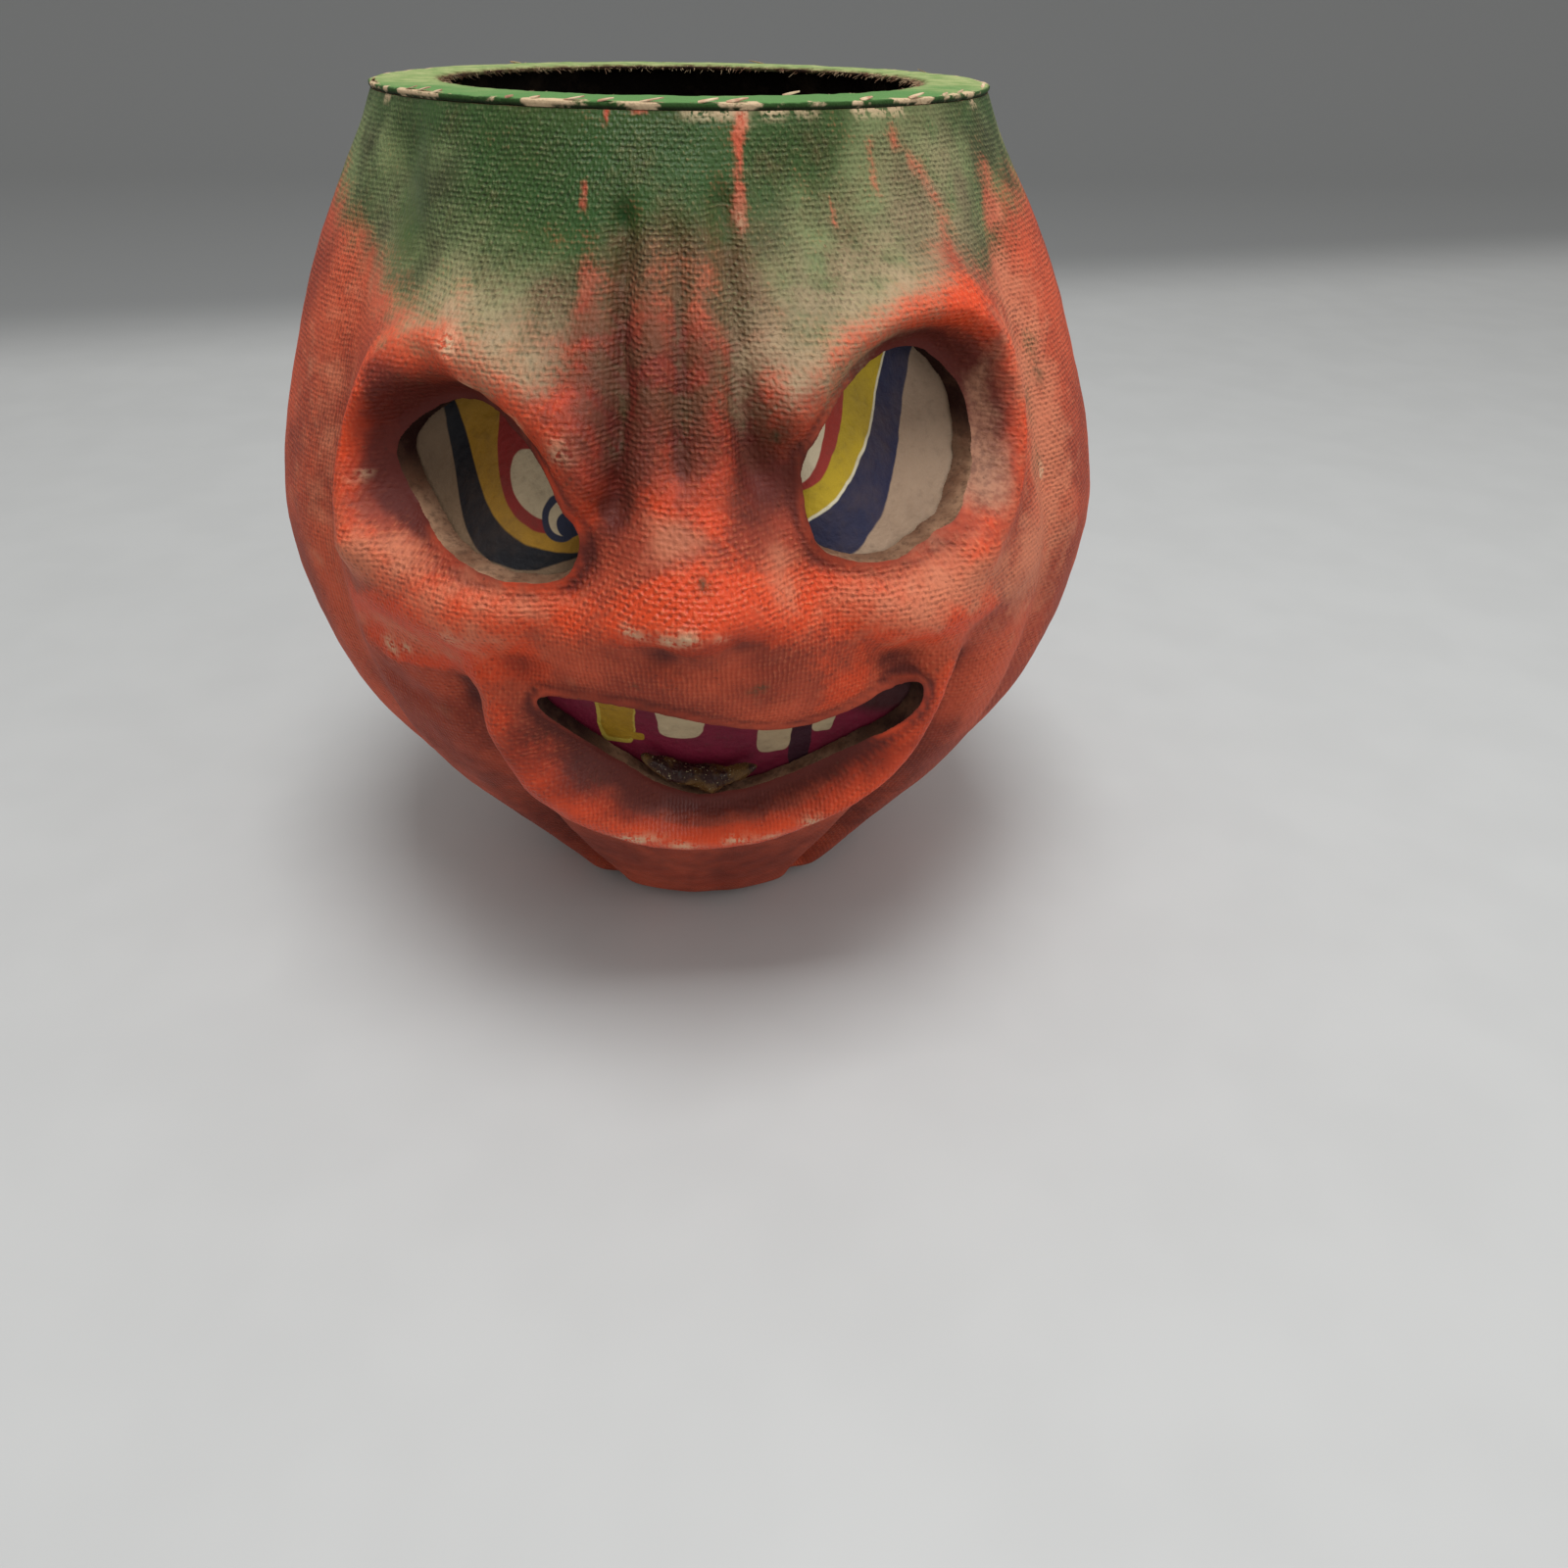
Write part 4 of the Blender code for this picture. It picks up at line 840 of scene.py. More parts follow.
class Faces:
    # points and faces gathered for one mesh
    def __init__(self):
        self.points, self.faces, self.kinds = [], [], []
        self.count = 0

    def grid(self, points, kind=0, flip=False, wrap=False):
        rows, columns = points.shape[:2]
        index = self.count + np.arange(rows * columns).reshape(rows, columns)
        self.points.append(points.reshape(-1, 3))
        self.count += rows * columns
        ring = np.hstack([index, index[:, :1]]) if wrap else index
        a, b, c, d = ring[:-1, :-1], ring[1:, :-1], ring[1:, 1:], ring[:-1, 1:]
        quads = np.stack([a, d, c, b] if flip else [a, b, c, d], axis=-1).reshape(-1, 4)
        self.faces += quads.tolist()
        self.kinds += [kind] * len(quads)
        return index

    def tube(self, points, kind=0):
        # closed rows of points with a cap at both ends
        index = self.grid(points, kind, wrap=True)
        self.faces += [index[0].tolist(), index[-1].tolist()[::-1]]
        self.kinds += [kind, kind]

    def point(self, place):
        self.points.append(np.array([place], float))
        self.count += 1
        return self.count - 1

    def stitch(self, first, second, kind=0, flip=False):
        # triangles between two rows of points, which may have different counts
        first, second = list(first), list(second)
        i = j = 0
        while i < len(first) - 1 or j < len(second) - 1:
            if j == len(second) - 1 or (i < len(first) - 1 and
                                        (i + 1) * (len(second) - 1) <= (j + 1) * (len(first) - 1)):
                tri = [first[i], first[i + 1], second[j]]
                i += 1
            else:
                tri = [first[i], second[j + 1], second[j]]
                j += 1
            self.faces.append(tri[::-1] if flip else tri)
            self.kinds.append(kind)

    def fan(self, middle, edge, kind=0, flip=False):
        for a, b in zip(edge[:-1], edge[1:]):
            self.faces.append([middle, b, a] if flip else [middle, a, b])
            self.kinds.append(kind)

    def build(self, name, materials, sharp=None, outward=False):
        mesh = bpy.data.meshes.new(name)
        mesh.from_pydata((np.concatenate(self.points) * mm).tolist(), [], self.faces)
        mesh.polygons.foreach_set("material_index", np.array(self.kinds, np.int32))
        for material in materials:
            mesh.materials.append(material)
        mesh.update()
        if outward:
            made = bmesh.new()
            made.from_mesh(mesh)
            bmesh.ops.recalc_face_normals(made, faces=made.faces)
            made.to_mesh(mesh)
            made.free()
        mesh.shade_smooth()
        if sharp:
            mesh.set_sharp_from_angle(angle=math.radians(sharp))
        obj = bpy.data.objects.new(name, mesh)
        scene.collection.objects.link(obj)
        return obj


def applyModifiers(obj):
    depsgraph = bpy.context.evaluated_depsgraph_get()
    old = obj.data
    obj.data = bpy.data.meshes.new_from_object(obj.evaluated_get(depsgraph))
    obj.modifiers.clear()
    bpy.data.meshes.remove(old)


def radialWedge(name, outline, near=40.0, far=110.0):
    made = Faces()
    angle = np.degrees(outline[:, 0] / face["radius"])
    z = outline[:, 1] + face["noseHeight"]
    made.tube(np.array([around(angle, radius, z) for radius in (near, far)]))
    return made.build(name, [cutMaterial], outward=True)


def rod(name, radius, start, end, sides=16):
    made = Faces()
    axis = (Vector(end) - Vector(start)).normalized()
    turn = axis.to_track_quat("Z", "Y").to_matrix()
    rows = []
    for place in (start, end):
        rows.append([Vector(place) + turn @ Vector((radius * math.cos(t), radius * math.sin(t), 0))
                     for t in np.linspace(0, 2 * math.pi, sides, endpoint=False)])
    made.tube(np.array(rows))
    return made.build(name, [cutMaterial], outward=True)


def cut(obj, cutters, operation="DIFFERENCE"):
    for cutter in cutters:
        modifier = obj.modifiers.new(cutter.name, "BOOLEAN")
        modifier.operation = operation
        modifier.solver = "EXACT"
        modifier.object = cutter
    applyModifiers(obj)
    for cutter in cutters:
        bpy.data.objects.remove(cutter, do_unlink=True)


# the two pulp half shells
shell = {
    "faceStep": 0.68,       # degrees between columns of the face half
    "backStep": 1.2,
    "faceRow": 0.95,        # millimetres between rows
    "backRow": 1.6,
    "insideShare": 3,       # the inside has this much wider steps
    "ragged": 0.28,         # unevenness of the cut outlines
    "lumps": (0.35, 4.0),   # height and size of the lumps inside
    "clearOfHoles": (8.0, 12.0), "clearOfSeams": (7.0, 10.0),     # no lumps behind the paper
    "sootHeights": (95, 155), "sootDepths": (1.0, 3.6),
    "paintDepth": 0.35,     # deeper than this a face is bare pulp
    "hardAngle": 50,
    # heights between which the cut edges turn from pale to dark; the dark upper parts are painted
    # shade
    "darkCuts": {"eyeLeft": (8.0, 18.0), "eyeRight": (14.0, 24.0), "mouth": (-37.0, -26.0)},
}


def halfShell(name, columns, rows, side):
    made = Faces()
    angle, z = np.meshgrid(columns, rows)
    outer = made.grid(around(angle, lookUp(outerMap, angle, z), z))
    coarse = shell["insideShare"]
    inColumns = np.linspace(columns[0], columns[-1], len(columns) // coarse)
    inRows = innerRow(np.linspace(rows[0], rows[-1], len(rows) // coarse))
    angle, z = np.meshgrid(inColumns, inRows)
    radius = innerRadius(angle, z)
    points = around(angle, radius, z)
    height, size = shell["lumps"]
    lumps = height * (roughNoise(points, size, 41) - 1.0) * softStep(z, floorTop, floorTop + 4)
    lumps *= softStep(lookUp(holeMap, angle, z), *shell["clearOfHoles"])
    fromSeam = np.abs(np.abs((angle + 180) % 360 - 180) - 90)
    lumps *= softStep(fromSeam, *shell["clearOfSeams"])
    radius = radius + lumps
    inner = made.grid(around(angle, radius, z), kind=1, flip=True)
    low, high = made.point((0, 0, shellBottom)), made.point((0, 0, floorTop))
    made.fan(low, outer[-1])
    made.fan(high, inner[-1], kind=1, flip=True)
    made.stitch(outer[0], inner[0], kind=2)
    for end, flip in ((0, True), (-1, False)):
        made.stitch(outer[:, end], inner[:, end], kind=2, flip=flip)
        tri = [outer[-1, end], low, inner[-1, end]], [low, high, inner[-1, end]]
        for corners in tri:
            made.faces.append(list(corners) if flip else list(corners)[::-1])
            made.kinds.append(2)
    made.points = [np.concatenate(made.points) + (0, side * body["gap"] / 2, 0)]
    return made.build(name, [paintMaterial, insideMaterial, cutMaterial], outward=True)


def acrossOutline(outline):
    # unit directions across a closed outline
    along = np.roll(outline, -1, axis=0) - np.roll(outline, 1, axis=0)
    normal = np.stack([along[:, 1], -along[:, 0]], axis=1)
    return normal / np.linalg.norm(normal, axis=1)[:, None]


def raggedOutline(name, seed):
    outline = holeOutline(name, 14)
    points = np.concatenate([outline, np.zeros((len(outline), 1))], axis=1)
    jitter = 0.7 * roughNoise(points, 4.0, seed) + 0.5 * roughNoise(points, 1.2, seed + 5)
    return outline + shell["ragged"] * jitter[:, None] * acrossOutline(outline)


def dressShell(obj, side):
    # finishes and paint masks, once all the cuts are made
    mesh = obj.data
    points = meshPoints(mesh) - (0, side * body["gap"] / 2, 0)
    angle = np.degrees(turnOf(points))
    radius = np.hypot(points[:, 0], points[:, 1])
    depth = lookUp(outerMap, angle, points[:, 2]) - radius
    for name, values in paintMasks(angle, points[:, 2], wearAndShadingMarks).items():
        setValues(mesh, name, values)
    # soot inside, and painted shade on the upper parts of the cut edges
    sootAndShade = 0.35 + 0.65 * softStep(points[:, 2], *shell["sootHeights"])
    sootAndShade = sootAndShade * softStep(depth, *shell["sootDepths"])
    h = points[:, 2] - face["noseHeight"]
    for name, (low, high) in shell["darkCuts"].items():
        near = 1 - softStep(lookUp(holeMaps[name], angle, points[:, 2]), 1.0, 2.0)
        sootAndShade = np.maximum(sootAndShade, near * softStep(h, low, high))
    setValues(mesh, "sootAndShade", sootAndShade)
    setMap(mesh, "pulpMap", np.radians(angle) * face["radius"],
           np.interp(points[:, 2], mapHeights, arcLength))
    corners = wholeNumbers(mesh.loops, "vertex_index")
    starts = wholeNumbers(mesh.polygons, "loop_start")
    kinds = wholeNumbers(mesh.polygons, "material_index")
    deepest = np.maximum.reduceat(depth[corners], starts)
    heights = np.minimum.reduceat(points[:, 2][corners], starts)
    inCut = (kinds == 0) & (deepest > shell["paintDepth"]) & (heights > shellBottom + 0.05)
    mesh.polygons.foreach_set("material_index", np.where(inCut, 2, kinds))
    roundOff(mesh, shell["hardAngle"])


def columnsBetween(start, end, step):
    return np.linspace(start, end, int(round((end - start) / step)) + 1)


def rowsBetween(step):
    count = int(arcLength[-1] / step)
    lengths = np.linspace(arcLength[-1], 0, count)
    return np.interp(lengths, arcLength, mapHeights)


frontPulp = halfShell("front_pulp", columnsBetween(-90, 90, shell["faceStep"]),
                      rowsBetween(shell["faceRow"]), -1)
rearPulp = halfShell("rear_pulp", columnsBetween(90, 270, shell["backStep"]),
                     rowsBetween(shell["backRow"]), 1)
bailHeight = shellTop - body["bailDrop"]
recessRadius, recessDepth = body["eyeletRecess"]
outside = 92.0              # beyond the walls on both sides
for halfObject in (frontPulp, rearPulp):
    cutters = [rod("bail holes", body["bailHole"], (-outside, 0, bailHeight),
                   (outside, 0, bailHeight)),
               rod("eyelet hole", body["eyeletHole"], (0, 0, -10), (0, 0, 15)),
               rod("eyelet recess", recessRadius, (0, 0, -10),
                   (0, 0, shellBottom + recessDepth), 24)]
    if halfObject is frontPulp:
        for seed, name in enumerate(holeMaps, 50):
            cutters.append(radialWedge(name, raggedOutline(name, seed)))
    cut(halfObject, cutters)
dressShell(frontPulp, -1)
dressShell(rearPulp, 1)
for halfObject, nodeName in ((frontPulp, "front_shell"), (rearPulp, "rear_shell")):
    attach(halfObject, "root")
    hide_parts(nodeName)
print("pulp shells made", len(frontPulp.data.polygons), len(rearPulp.data.polygons))

# paper sheets inside: the printed slips behind the holes and the strips over the seams
sheets = {
    "thickness": 0.4, "standOff": 0.08, "wave": 0.55, "step": 0.8,
    "margin": 4.8,          # how far a slip reaches past its hole
    "stripHalf": 8.8, "stripBottom": 13.2, "stripTop": 145.0,
    "stripColumns": 19, "stripRows": 120, "stripSoot": (60, 145),
    "hardAngle": 60,
}


def innerSheet(name, angles, heights, seed, material):
    made = Faces()
    angle, z = np.meshgrid(angles, heights)
    radius = innerRadius(angle, z)
    points = around(angle, radius, z)
    wave = 0.5 + 0.5 * np.clip(roughNoise(points, 9.0, seed, 2), -1, 1)
    radius = radius - body["gap"] - sheets["standOff"] - sheets["wave"] * wave
    outer = made.grid(around(angle, radius, z))
    inner = made.grid(around(angle, radius - sheets["thickness"], z), flip=True)
    made.stitch(outer[0], inner[0])
    made.stitch(outer[-1], inner[-1], flip=True)
    made.stitch(outer[:, 0], inner[:, 0], flip=True)
    made.stitch(outer[:, -1], inner[:, -1])
    return made.build(name, [material], sharp=sheets["hardAngle"], outward=True)


def grownOutline(name, margin):
    outline = holeOutline(name)
    normal = acrossOutline(outline)
    outward = np.sign(np.sum(normal * (outline - outline.mean(axis=0)), axis=1).sum())
    return outline + outward * margin * normal


def paperSlip(name, hole, seed, material):
    outline = grownOutline(hole, sheets["margin"])
    low, high = outline.min(axis=0) - 1, outline.max(axis=0) + 1
    count = ((high - low) / sheets["step"]).astype(int)
    angles = np.degrees(np.linspace(low[0], high[0], count[0]) / face["radius"])
    heights = np.linspace(high[1], low[1], count[1]) + face["noseHeight"]
    slip = innerSheet(name, angles, heights, seed, material)
    slip.data.transform(Matrix.Translation((0, -body["gap"] / 2 * mm, 0)))
    cut(slip, [radialWedge(name + " outline", outline)], "INTERSECT")
    points = meshPoints(slip.data)
    setMap(slip.data, "slipMap", turnOf(points) * face["radius"],
           points[:, 2] - face["noseHeight"])
    roundOff(slip.data, sheets["hardAngle"])
    return slip


def printedArea(x, y, middle, half, turn, power, blur):
    # 1 inside a round or, with a high power, a block-like area; lengths in millimetres
    cosine, sine = math.cos(math.radians(turn)), math.sin(math.radians(turn))
    x, y = x - middle[0] * 0.01, y - middle[1] * 0.01
    along, across = x * cosine + y * sine, y * cosine - x * sine
    away = abs(along * (100 / half[0])) ** power + abs(across * (100 / half[1])) ** power
    return (away ** (1 / power)).between(1 + blur, 1 - blur)


def printedPaper(name, values):
    paper = Finish(name)
    x, y = paper.mapPlace("slipMap")
    wobble = (paper.noise(160.0, 2.0) - 0.5) * 0.012
    x, y = x + wobble, y - wobble
    colour = srgb(*values["ground"])
    for shade, *area in values["areas"]:
        colour = paper.blend(printedArea(x, y, *area), colour, srgb(*shade))
    fibres, blotches = paper.noise(600.0, 4.0), paper.noise(70.0, 4.0, 0.6)
    colour = paper.blend(blotches.between(0.42, 0.75) * 0.35, colour, srgb(*values["stain"]))
    colour = paper.blend(fibres.between(0.5, 0.75) * 0.18, colour, srgb(60, 44, 30))
    return paper.close(colour, 0.62, blotches * 2.0 + fibres, 0.00035, Specular_IOR_Level=0.3)


# each printed area: colour, middle, half sizes, turn, power, blur; later ones lie on top
slipPrints = {
    # colours painted darker than the right eye's, as painted shade
    "left_eye_slip": {
        "hole": "eyeLeft", "ground": (116, 94, 72), "stain": (72, 54, 40),
        "areas": (((11, 12, 19), (-30.0, 27.8), (23.7, 23.7), 0, 2, 0.008),
                  ((150, 110, 26), (-22.2, 39.6), (32.6, 32.6), 0, 2, 0.006),
                  ((128, 28, 24), (-25.8, 23.9), (14.3, 14.3), 0, 2, 0.012),
                  ((176, 158, 128), (-28.9, 15.9), (6.4, 3.9), -22, 2, 0.03),
                  ((28, 32, 54), (-22.9, 12.1), (3.6, 3.5), 0, 2, 0.04),
                  ((176, 158, 128), (-22.6, 12.1), (2.6, 2.5), 0, 2, 0.05),
                  ((28, 32, 54), (-21.3, 11.3), (2.2, 2.0), 0, 2, 0.05)),
    },
    "right_eye_slip": {
        "hole": "eyeRight", "ground": (150, 126, 104), "stain": (96, 74, 56),
        "areas": (((27, 29, 58), (0.5, 52.3), (53.0, 53.0), 0, 2, 0.004),
                  ((206, 198, 170), (0.6, 54.0), (46.8, 46.8), 0, 2, 0.003),
                  ((176, 148, 24), (0.6, 54.0), (46.3, 46.3), 0, 2, 0.003),
                  ((150, 44, 34), (14.0, 30.8), (15.5, 15.5), 0, 2, 0.01),
                  ((206, 190, 160), (12.5, 27.2), (11.5, 11.5), 0, 2, 0.012)),
    },
    "mouth_slip": {
        "hole": "mouth", "ground": (112, 16, 44), "stain": (52, 12, 26),
        "areas": (((52, 16, 30), (19.8, -30.0), (2.2, 9.0), 0, 4, 0.04),
                  ((178, 154, 60), (-16.3, -24.0), (3.5, 7.6), -9, 5, 0.02),
                  ((156, 118, 22), (-16.0, -23.4), (3.0, 7.2), -9, 5, 0.03),
                  ((156, 118, 22), (-13.2, -29.4), (1.4, 1.2), 0, 3, 0.05),
                  ((184, 164, 130), (-4.2, -23.6), (4.4, 6.0), -3, 4, 0.03),
                  ((170, 148, 116), (14.1, -28.6), (3.5, 6.2), 3, 5, 0.03),
                  ((176, 156, 124), (23.8, -25.6), (2.2, 4.8), 3, 5, 0.03),
                  # the last area is painted shade in the mouth's right corner
                  ((62, 20, 24), (34.0, -20.6), (6.5, 4.5), 25, 2, 0.35)),
    },
}
for seed, (slipName, values) in enumerate(slipPrints.items(), 61):
    paperMaterial = printedPaper(slipName.replace("_", " ") + " print", values)
    slip = paperSlip(slipName + "_sheet", values["hole"], seed, paperMaterial)
    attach(slip, "root")
    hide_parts(slipName)
    "mouth_paper" if values["hole"] == "mouth" else "eye_paper"
print("printed slips made")

stripMaterial = rawPulp("brown seam paper", (156, 128, 92), (120, 94, 64), (34, 26, 20), 0.00025)
reach = math.degrees(sheets["stripHalf"] / body["girth"][1])
stripHeights = np.linspace(sheets["stripTop"], sheets["stripBottom"], sheets["stripRows"])
for side, middle, seed in (("left", -90.0, 66), ("right", 90.0, 67)):
    angles = np.linspace(middle - reach, middle + reach, sheets["stripColumns"])
    strip = innerSheet(side + "_seam_paper", angles, stripHeights, seed, stripMaterial)
    sooty = softStep(meshPoints(strip.data)[:, 2], *sheets["stripSoot"])
    setValues(strip.data, "sootAndShade", 0.3 + 0.6 * sooty)
    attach(strip, "root")
    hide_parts(side + "_seam_strip")
print("seam strips made")

# card ring on the top edge
ring = {
    "low": 160.6, "top": 161.7, "inner": 42.2, "outer": 55.25, "columns": 900,
    "ragged": 1.1,          # unevenness of the burnt inner edge
    "nibbled": 0.45,        # unevenness of the outer edge
    "droop": 0.22,          # how far the outer edge hangs over the pulp
    "pale": (122, 146, 86), "paleYellow": (158, 168, 112), "front": (88, 132, 72),
    "side": (46, 78, 34), "scorch": (84, 48, 34), "charred": (28, 17, 13),
    # the colour under the outer edge is painted shade where the ring meets the pulp
    "chip": (202, 176, 142), "under": (30, 44, 20),
    # where the colours set in and are full, in metres from the axis or above the table
    "edgeAt": (0.0544, 0.0551), "sideAt": (0.0549, 0.0554), "scorchAt": (0.0474, 0.0446),
    "charredAt": (0.0450, 0.0434), "frontAt": (-0.012, -0.042), "belowTop": (0.1616, 0.1612),
    "nearPulp": (0.1610, 0.1606),
    # flakes of the painted paper that stand up: angle, radius, length, width, lift in degrees
    "flakes": ((-73, 55.0, 3.4, 1.2, 20), (-69, 54.9, 2.6, 1.0, 34), (-51, 55.2, 3.0, 1.1, 12),
               (-47, 55.2, 3.6, 1.2, 16), (-43, 55.3, 2.2, 0.9, 30), (-28, 55.2, 1.5, 1.2, 44),
               (-23.5, 55.2, 1.8, 1.2, 30), (-17, 55.3, 3.2, 0.8, 10), (-12, 55.3, 2.4, 0.8, 14),
               (-5, 55.3, 3.6, 0.8, 8), (3.5, 55.3, 3.0, 1.0, 12), (8, 55.2, 3.2, 1.2, 14),
               (22.5, 43.4, 3.0, 2.2, 48), (30, 55.2, 2.2, 1.2, 16), (41, 55.3, 3.4, 0.8, 10),
               (49, 55.2, 1.6, 1.4, 50), (55, 55.0, 2.2, 1.5, 56), (71, 54.9, 3.4, 1.3, 24),
               (118, 55.2, 2.8, 1.2, 18), (163, 55.2, 3.4, 1.0, 14), (-140, 55.2, 2.6, 1.3, 22)),
    "flakeDrop": 0.34,      # how far below the top the flakes are fixed
    "hardAngle": 50,
    # loose fibres: count, share of them that point inward, length, thickness
    "fibres": (1300, 0.8, (0.6, 2.2), (0.035, 0.07)),
    # places of the rows across the card, as shares of its width
    "profile": (0.0, 0.03, 0.08, 0.16, 0.26, 0.38, 0.5, 0.62, 0.74, 0.84, 0.92, 0.97),
}


def addRing(made, values):
    angle = np.linspace(0, 360, values["columns"], endpoint=False)
    low, top, droop = values["low"], values["top"], values["droop"]
    edge, inside = around(angle, values["outer"], top), around(angle, values["inner"], top)
    bite = np.clip(roughNoise(edge, 2.6, 71), 0, 1) * values["nibbled"]
    burnt = values["ragged"] * (0.5 + 0.5 * roughNoise(inside, 5.0, 72))
    burnt = np.clip(burnt + 0.3 * roughNoise(inside, 1.3, 73), 0, None)
    outer = values["outer"] - bite
    inner = values["inner"] + burnt
    rows = [(inner + 0.3, low), (inner, low + 0.35), (inner + 0.05, top - 0.5)]
    for share in values["profile"]:
        radius = inner + 0.25 + share * (outer - 0.3 - inner)
        place = around(angle, radius, top)
        dip = 0.30 * (0.5 + 0.5 * np.clip(roughNoise(place, 3.5, 74), -1, 1)) + 0.04
        dip = dip + 0.5 * (1 - softStep(share, 0.0, 0.10)) + 0.14 * softStep(share, 0.8, 1.0)
        rows.append((radius, top - dip))
    rows += [(outer - 0.08, top - 0.42 - 0.3 * bite), (outer, (low + top) / 2),
             (outer - 0.06, low + 0.15 - 0.2 * droop), (outer - 0.3, low - droop),
             (outer - 0.75, low)]
    made.grid(np.stack([around(angle, radius, z) for radius, z in rows + rows[:1]]), wrap=True)


def addSlab(made, middle, across, along, up, size, curl, kind):
    # thin curled flake: across and along are its directions, curl lifts its far end
    width = size[1] * np.array((0.75, 1.0, 0.9, 0.7, 0.35))
    t = np.linspace(0, 1, len(width))
    length = size[0] * t
    rise = np.sin(t * curl) * size[0] * 0.35
    middleLine = middle + length[:, None] * along + rise[:, None] * up
    left = middleLine - across * width[:, None] / 2
    right = middleLine + across * width[:, None] / 2
    thick = 0.14 * up
    made.tube(np.stack([left, right, right - thick, left - thick], axis=1), kind)


def addFibre(made, start, end, sag, thick, kind):
    # hair-like fibre of three sides
    t = np.linspace(0, 1, 4)[:, None]
    line = start + (end - start) * t + sag * (t * (1 - t)) * 4
    direction = (end - start) / np.linalg.norm(end - start)
    first = np.cross(direction, (0.3, 0.5, 0.8))
    first /= np.linalg.norm(first)
    second = np.cross(direction, first)
    rows = []
    for place, share in zip(line, (1.0, 0.9, 0.7, 0.3)):
        rows.append([place + thick * share * (math.cos(a) * first + math.sin(a) * second)
                     for a in (0, 2.094, 4.189)])
    made.tube(np.array(rows), kind)


def outAndSide(angle):
    # directions away from the axis and round it
    a = math.radians(angle)
    return np.array((math.sin(a), -math.cos(a), 0)), np.array((math.cos(a), math.sin(a), 0))


def ringPiece(values):
    made = Faces()
    addRing(made, values)
    up = np.array((0.0, 0.0, 1.0))
    top = values["top"] - values["flakeDrop"]
    for angle, radius, length, width, lift in values["flakes"]:
        out, side = outAndSide(angle)
        lean = math.radians(lift)
        reach = min(width, (values["top"] - top - 0.1) / max(0.1, math.sin(lean)))
        across = -out * math.cos(lean) + up * math.sin(lean)
        middle = out * (radius - 0.3) + up * top - side * length / 2
        addSlab(made, middle + across * reach * 0.4, across, side, up, (length, reach), 0.5, 1)
    rng = np.random.default_rng(75)
    count, inwardShare, lengths, thicknesses = values["fibres"]
    for turn in rng.uniform(-180, 180, count):
        out, side = outAndSide(turn)
        inward = rng.random() < inwardShare
        radius = values["inner"] + rng.uniform(0.6, 1.6) if inward else values["outer"] - 0.4
        start = out * radius + up * (values["top"] - rng.uniform(0.35, 0.9))
        length = rng.uniform(*lengths)
        reach = -out * length * 0.7 if inward else out * length * 0.12
        fall = rng.uniform(-0.55, 0.1) * length if inward else rng.uniform(-0.3, 0.2)
        end = start + reach + side * rng.normal(0, 0.6) + up * fall
        addFibre(made, start, end, up * rng.uniform(-0.1, 0.05), rng.uniform(*thicknesses), 2)
    made.points = [np.minimum(np.concatenate(made.points), (99, 99, body["height"] - 0.01))]
    return made.build("top_card_ring", [cardMaterial(values), flakeMaterial, fibreMaterial],
                      sharp=values["hardAngle"], outward=True)


def cardMaterial(values):
    card = Finish("ring card")
    tones = {name: srgb(*value) for name, value in values.items()
             if isinstance(value, tuple) and len(value) == 3}
    x, y, z = card.parts(card.place)
    radius = card.calc("SQRT", x * x + y * y)
    fine, middling = card.noise(1100.0, 4.0, 0.65), card.noise(260.0, 4.0)
    large, flaky = card.noise(60.0), card.noise(115.0, 4.0, 0.65)
    worn = middling * 0.0032 + radius
    edge = (large * 0.0012 + radius).between(*values["edgeAt"])
    under = z.between(*values["nearPulp"]) * edge
    side = (fine * 0.0006 + radius).between(*values["sideAt"])
    colour = card.blend(middling.between(0.35, 0.65), tones["pale"], tones["paleYellow"])
    for factor, tone in (
            (((large - 0.5) * 0.06 + y).between(*values["frontAt"]), "front"),
            ((fine * 0.0016 + worn).between(*values["scorchAt"]), "scorch"),
            (worn.between(*values["charredAt"]), "charred"),
            (side * z.between(*values["belowTop"]), "side"),
            ((fine * 0.12 + flaky).between(0.53, 0.59) * edge, "chip"),
            # painted shade where the ring meets the pulp
            (under * flaky.between(0.62, 0.52), "under")):
        colour = card.blend(factor, colour, tones[tone])
    return card.close(colour, 0.86, fine * 0.8 + middling, 0.0006, Specular_IOR_Level=0.25)


def plainFibre(name, light, dark):
    fibre = Finish(name)
    grain = fibre.noise(420.0, 4.0)
    colour = fibre.blend(grain.between(0.35, 0.65), srgb(*dark), srgb(*light))
    return fibre.close(colour, 0.85, grain, 0.0002)


flakeMaterial = plainFibre("flaked paint", (206, 184, 150), (164, 118, 92))
fibreMaterial = plainFibre("loose fibres", (196, 172, 134), (120, 78, 54))
cardRing = ringPiece(ring)
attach(cardRing, "root")
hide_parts("rim_ring")
print("ring made", len(cardRing.data.polygons))

# old glue along the bottom of the mouth
glue = {
    "route": ((-12.5, -32.8), (-7, -36.4), (-1, -38.6), (4.5, -38.2), (10.5, -36.2)),
    "radius": 1.9, "lift": 2.25, "sides": 28, "steps": 40, "hardAngle": 80,
    "knobs": ((2.2, 0.20, 81), (0.8, 0.10, 82)),        # size, height, seed
    "lumps": ((0.12, 0.10, 0.35), (0.32, 0.08, 0.6), (0.60, 0.10, 1.0), (0.84, 0.07, 0.2)),
    # the silver tone is painted highlight, for the glints
    "amber": (138, 100, 50), "plum": (62, 24, 30), "paintedGlint": (226, 208, 168),
}


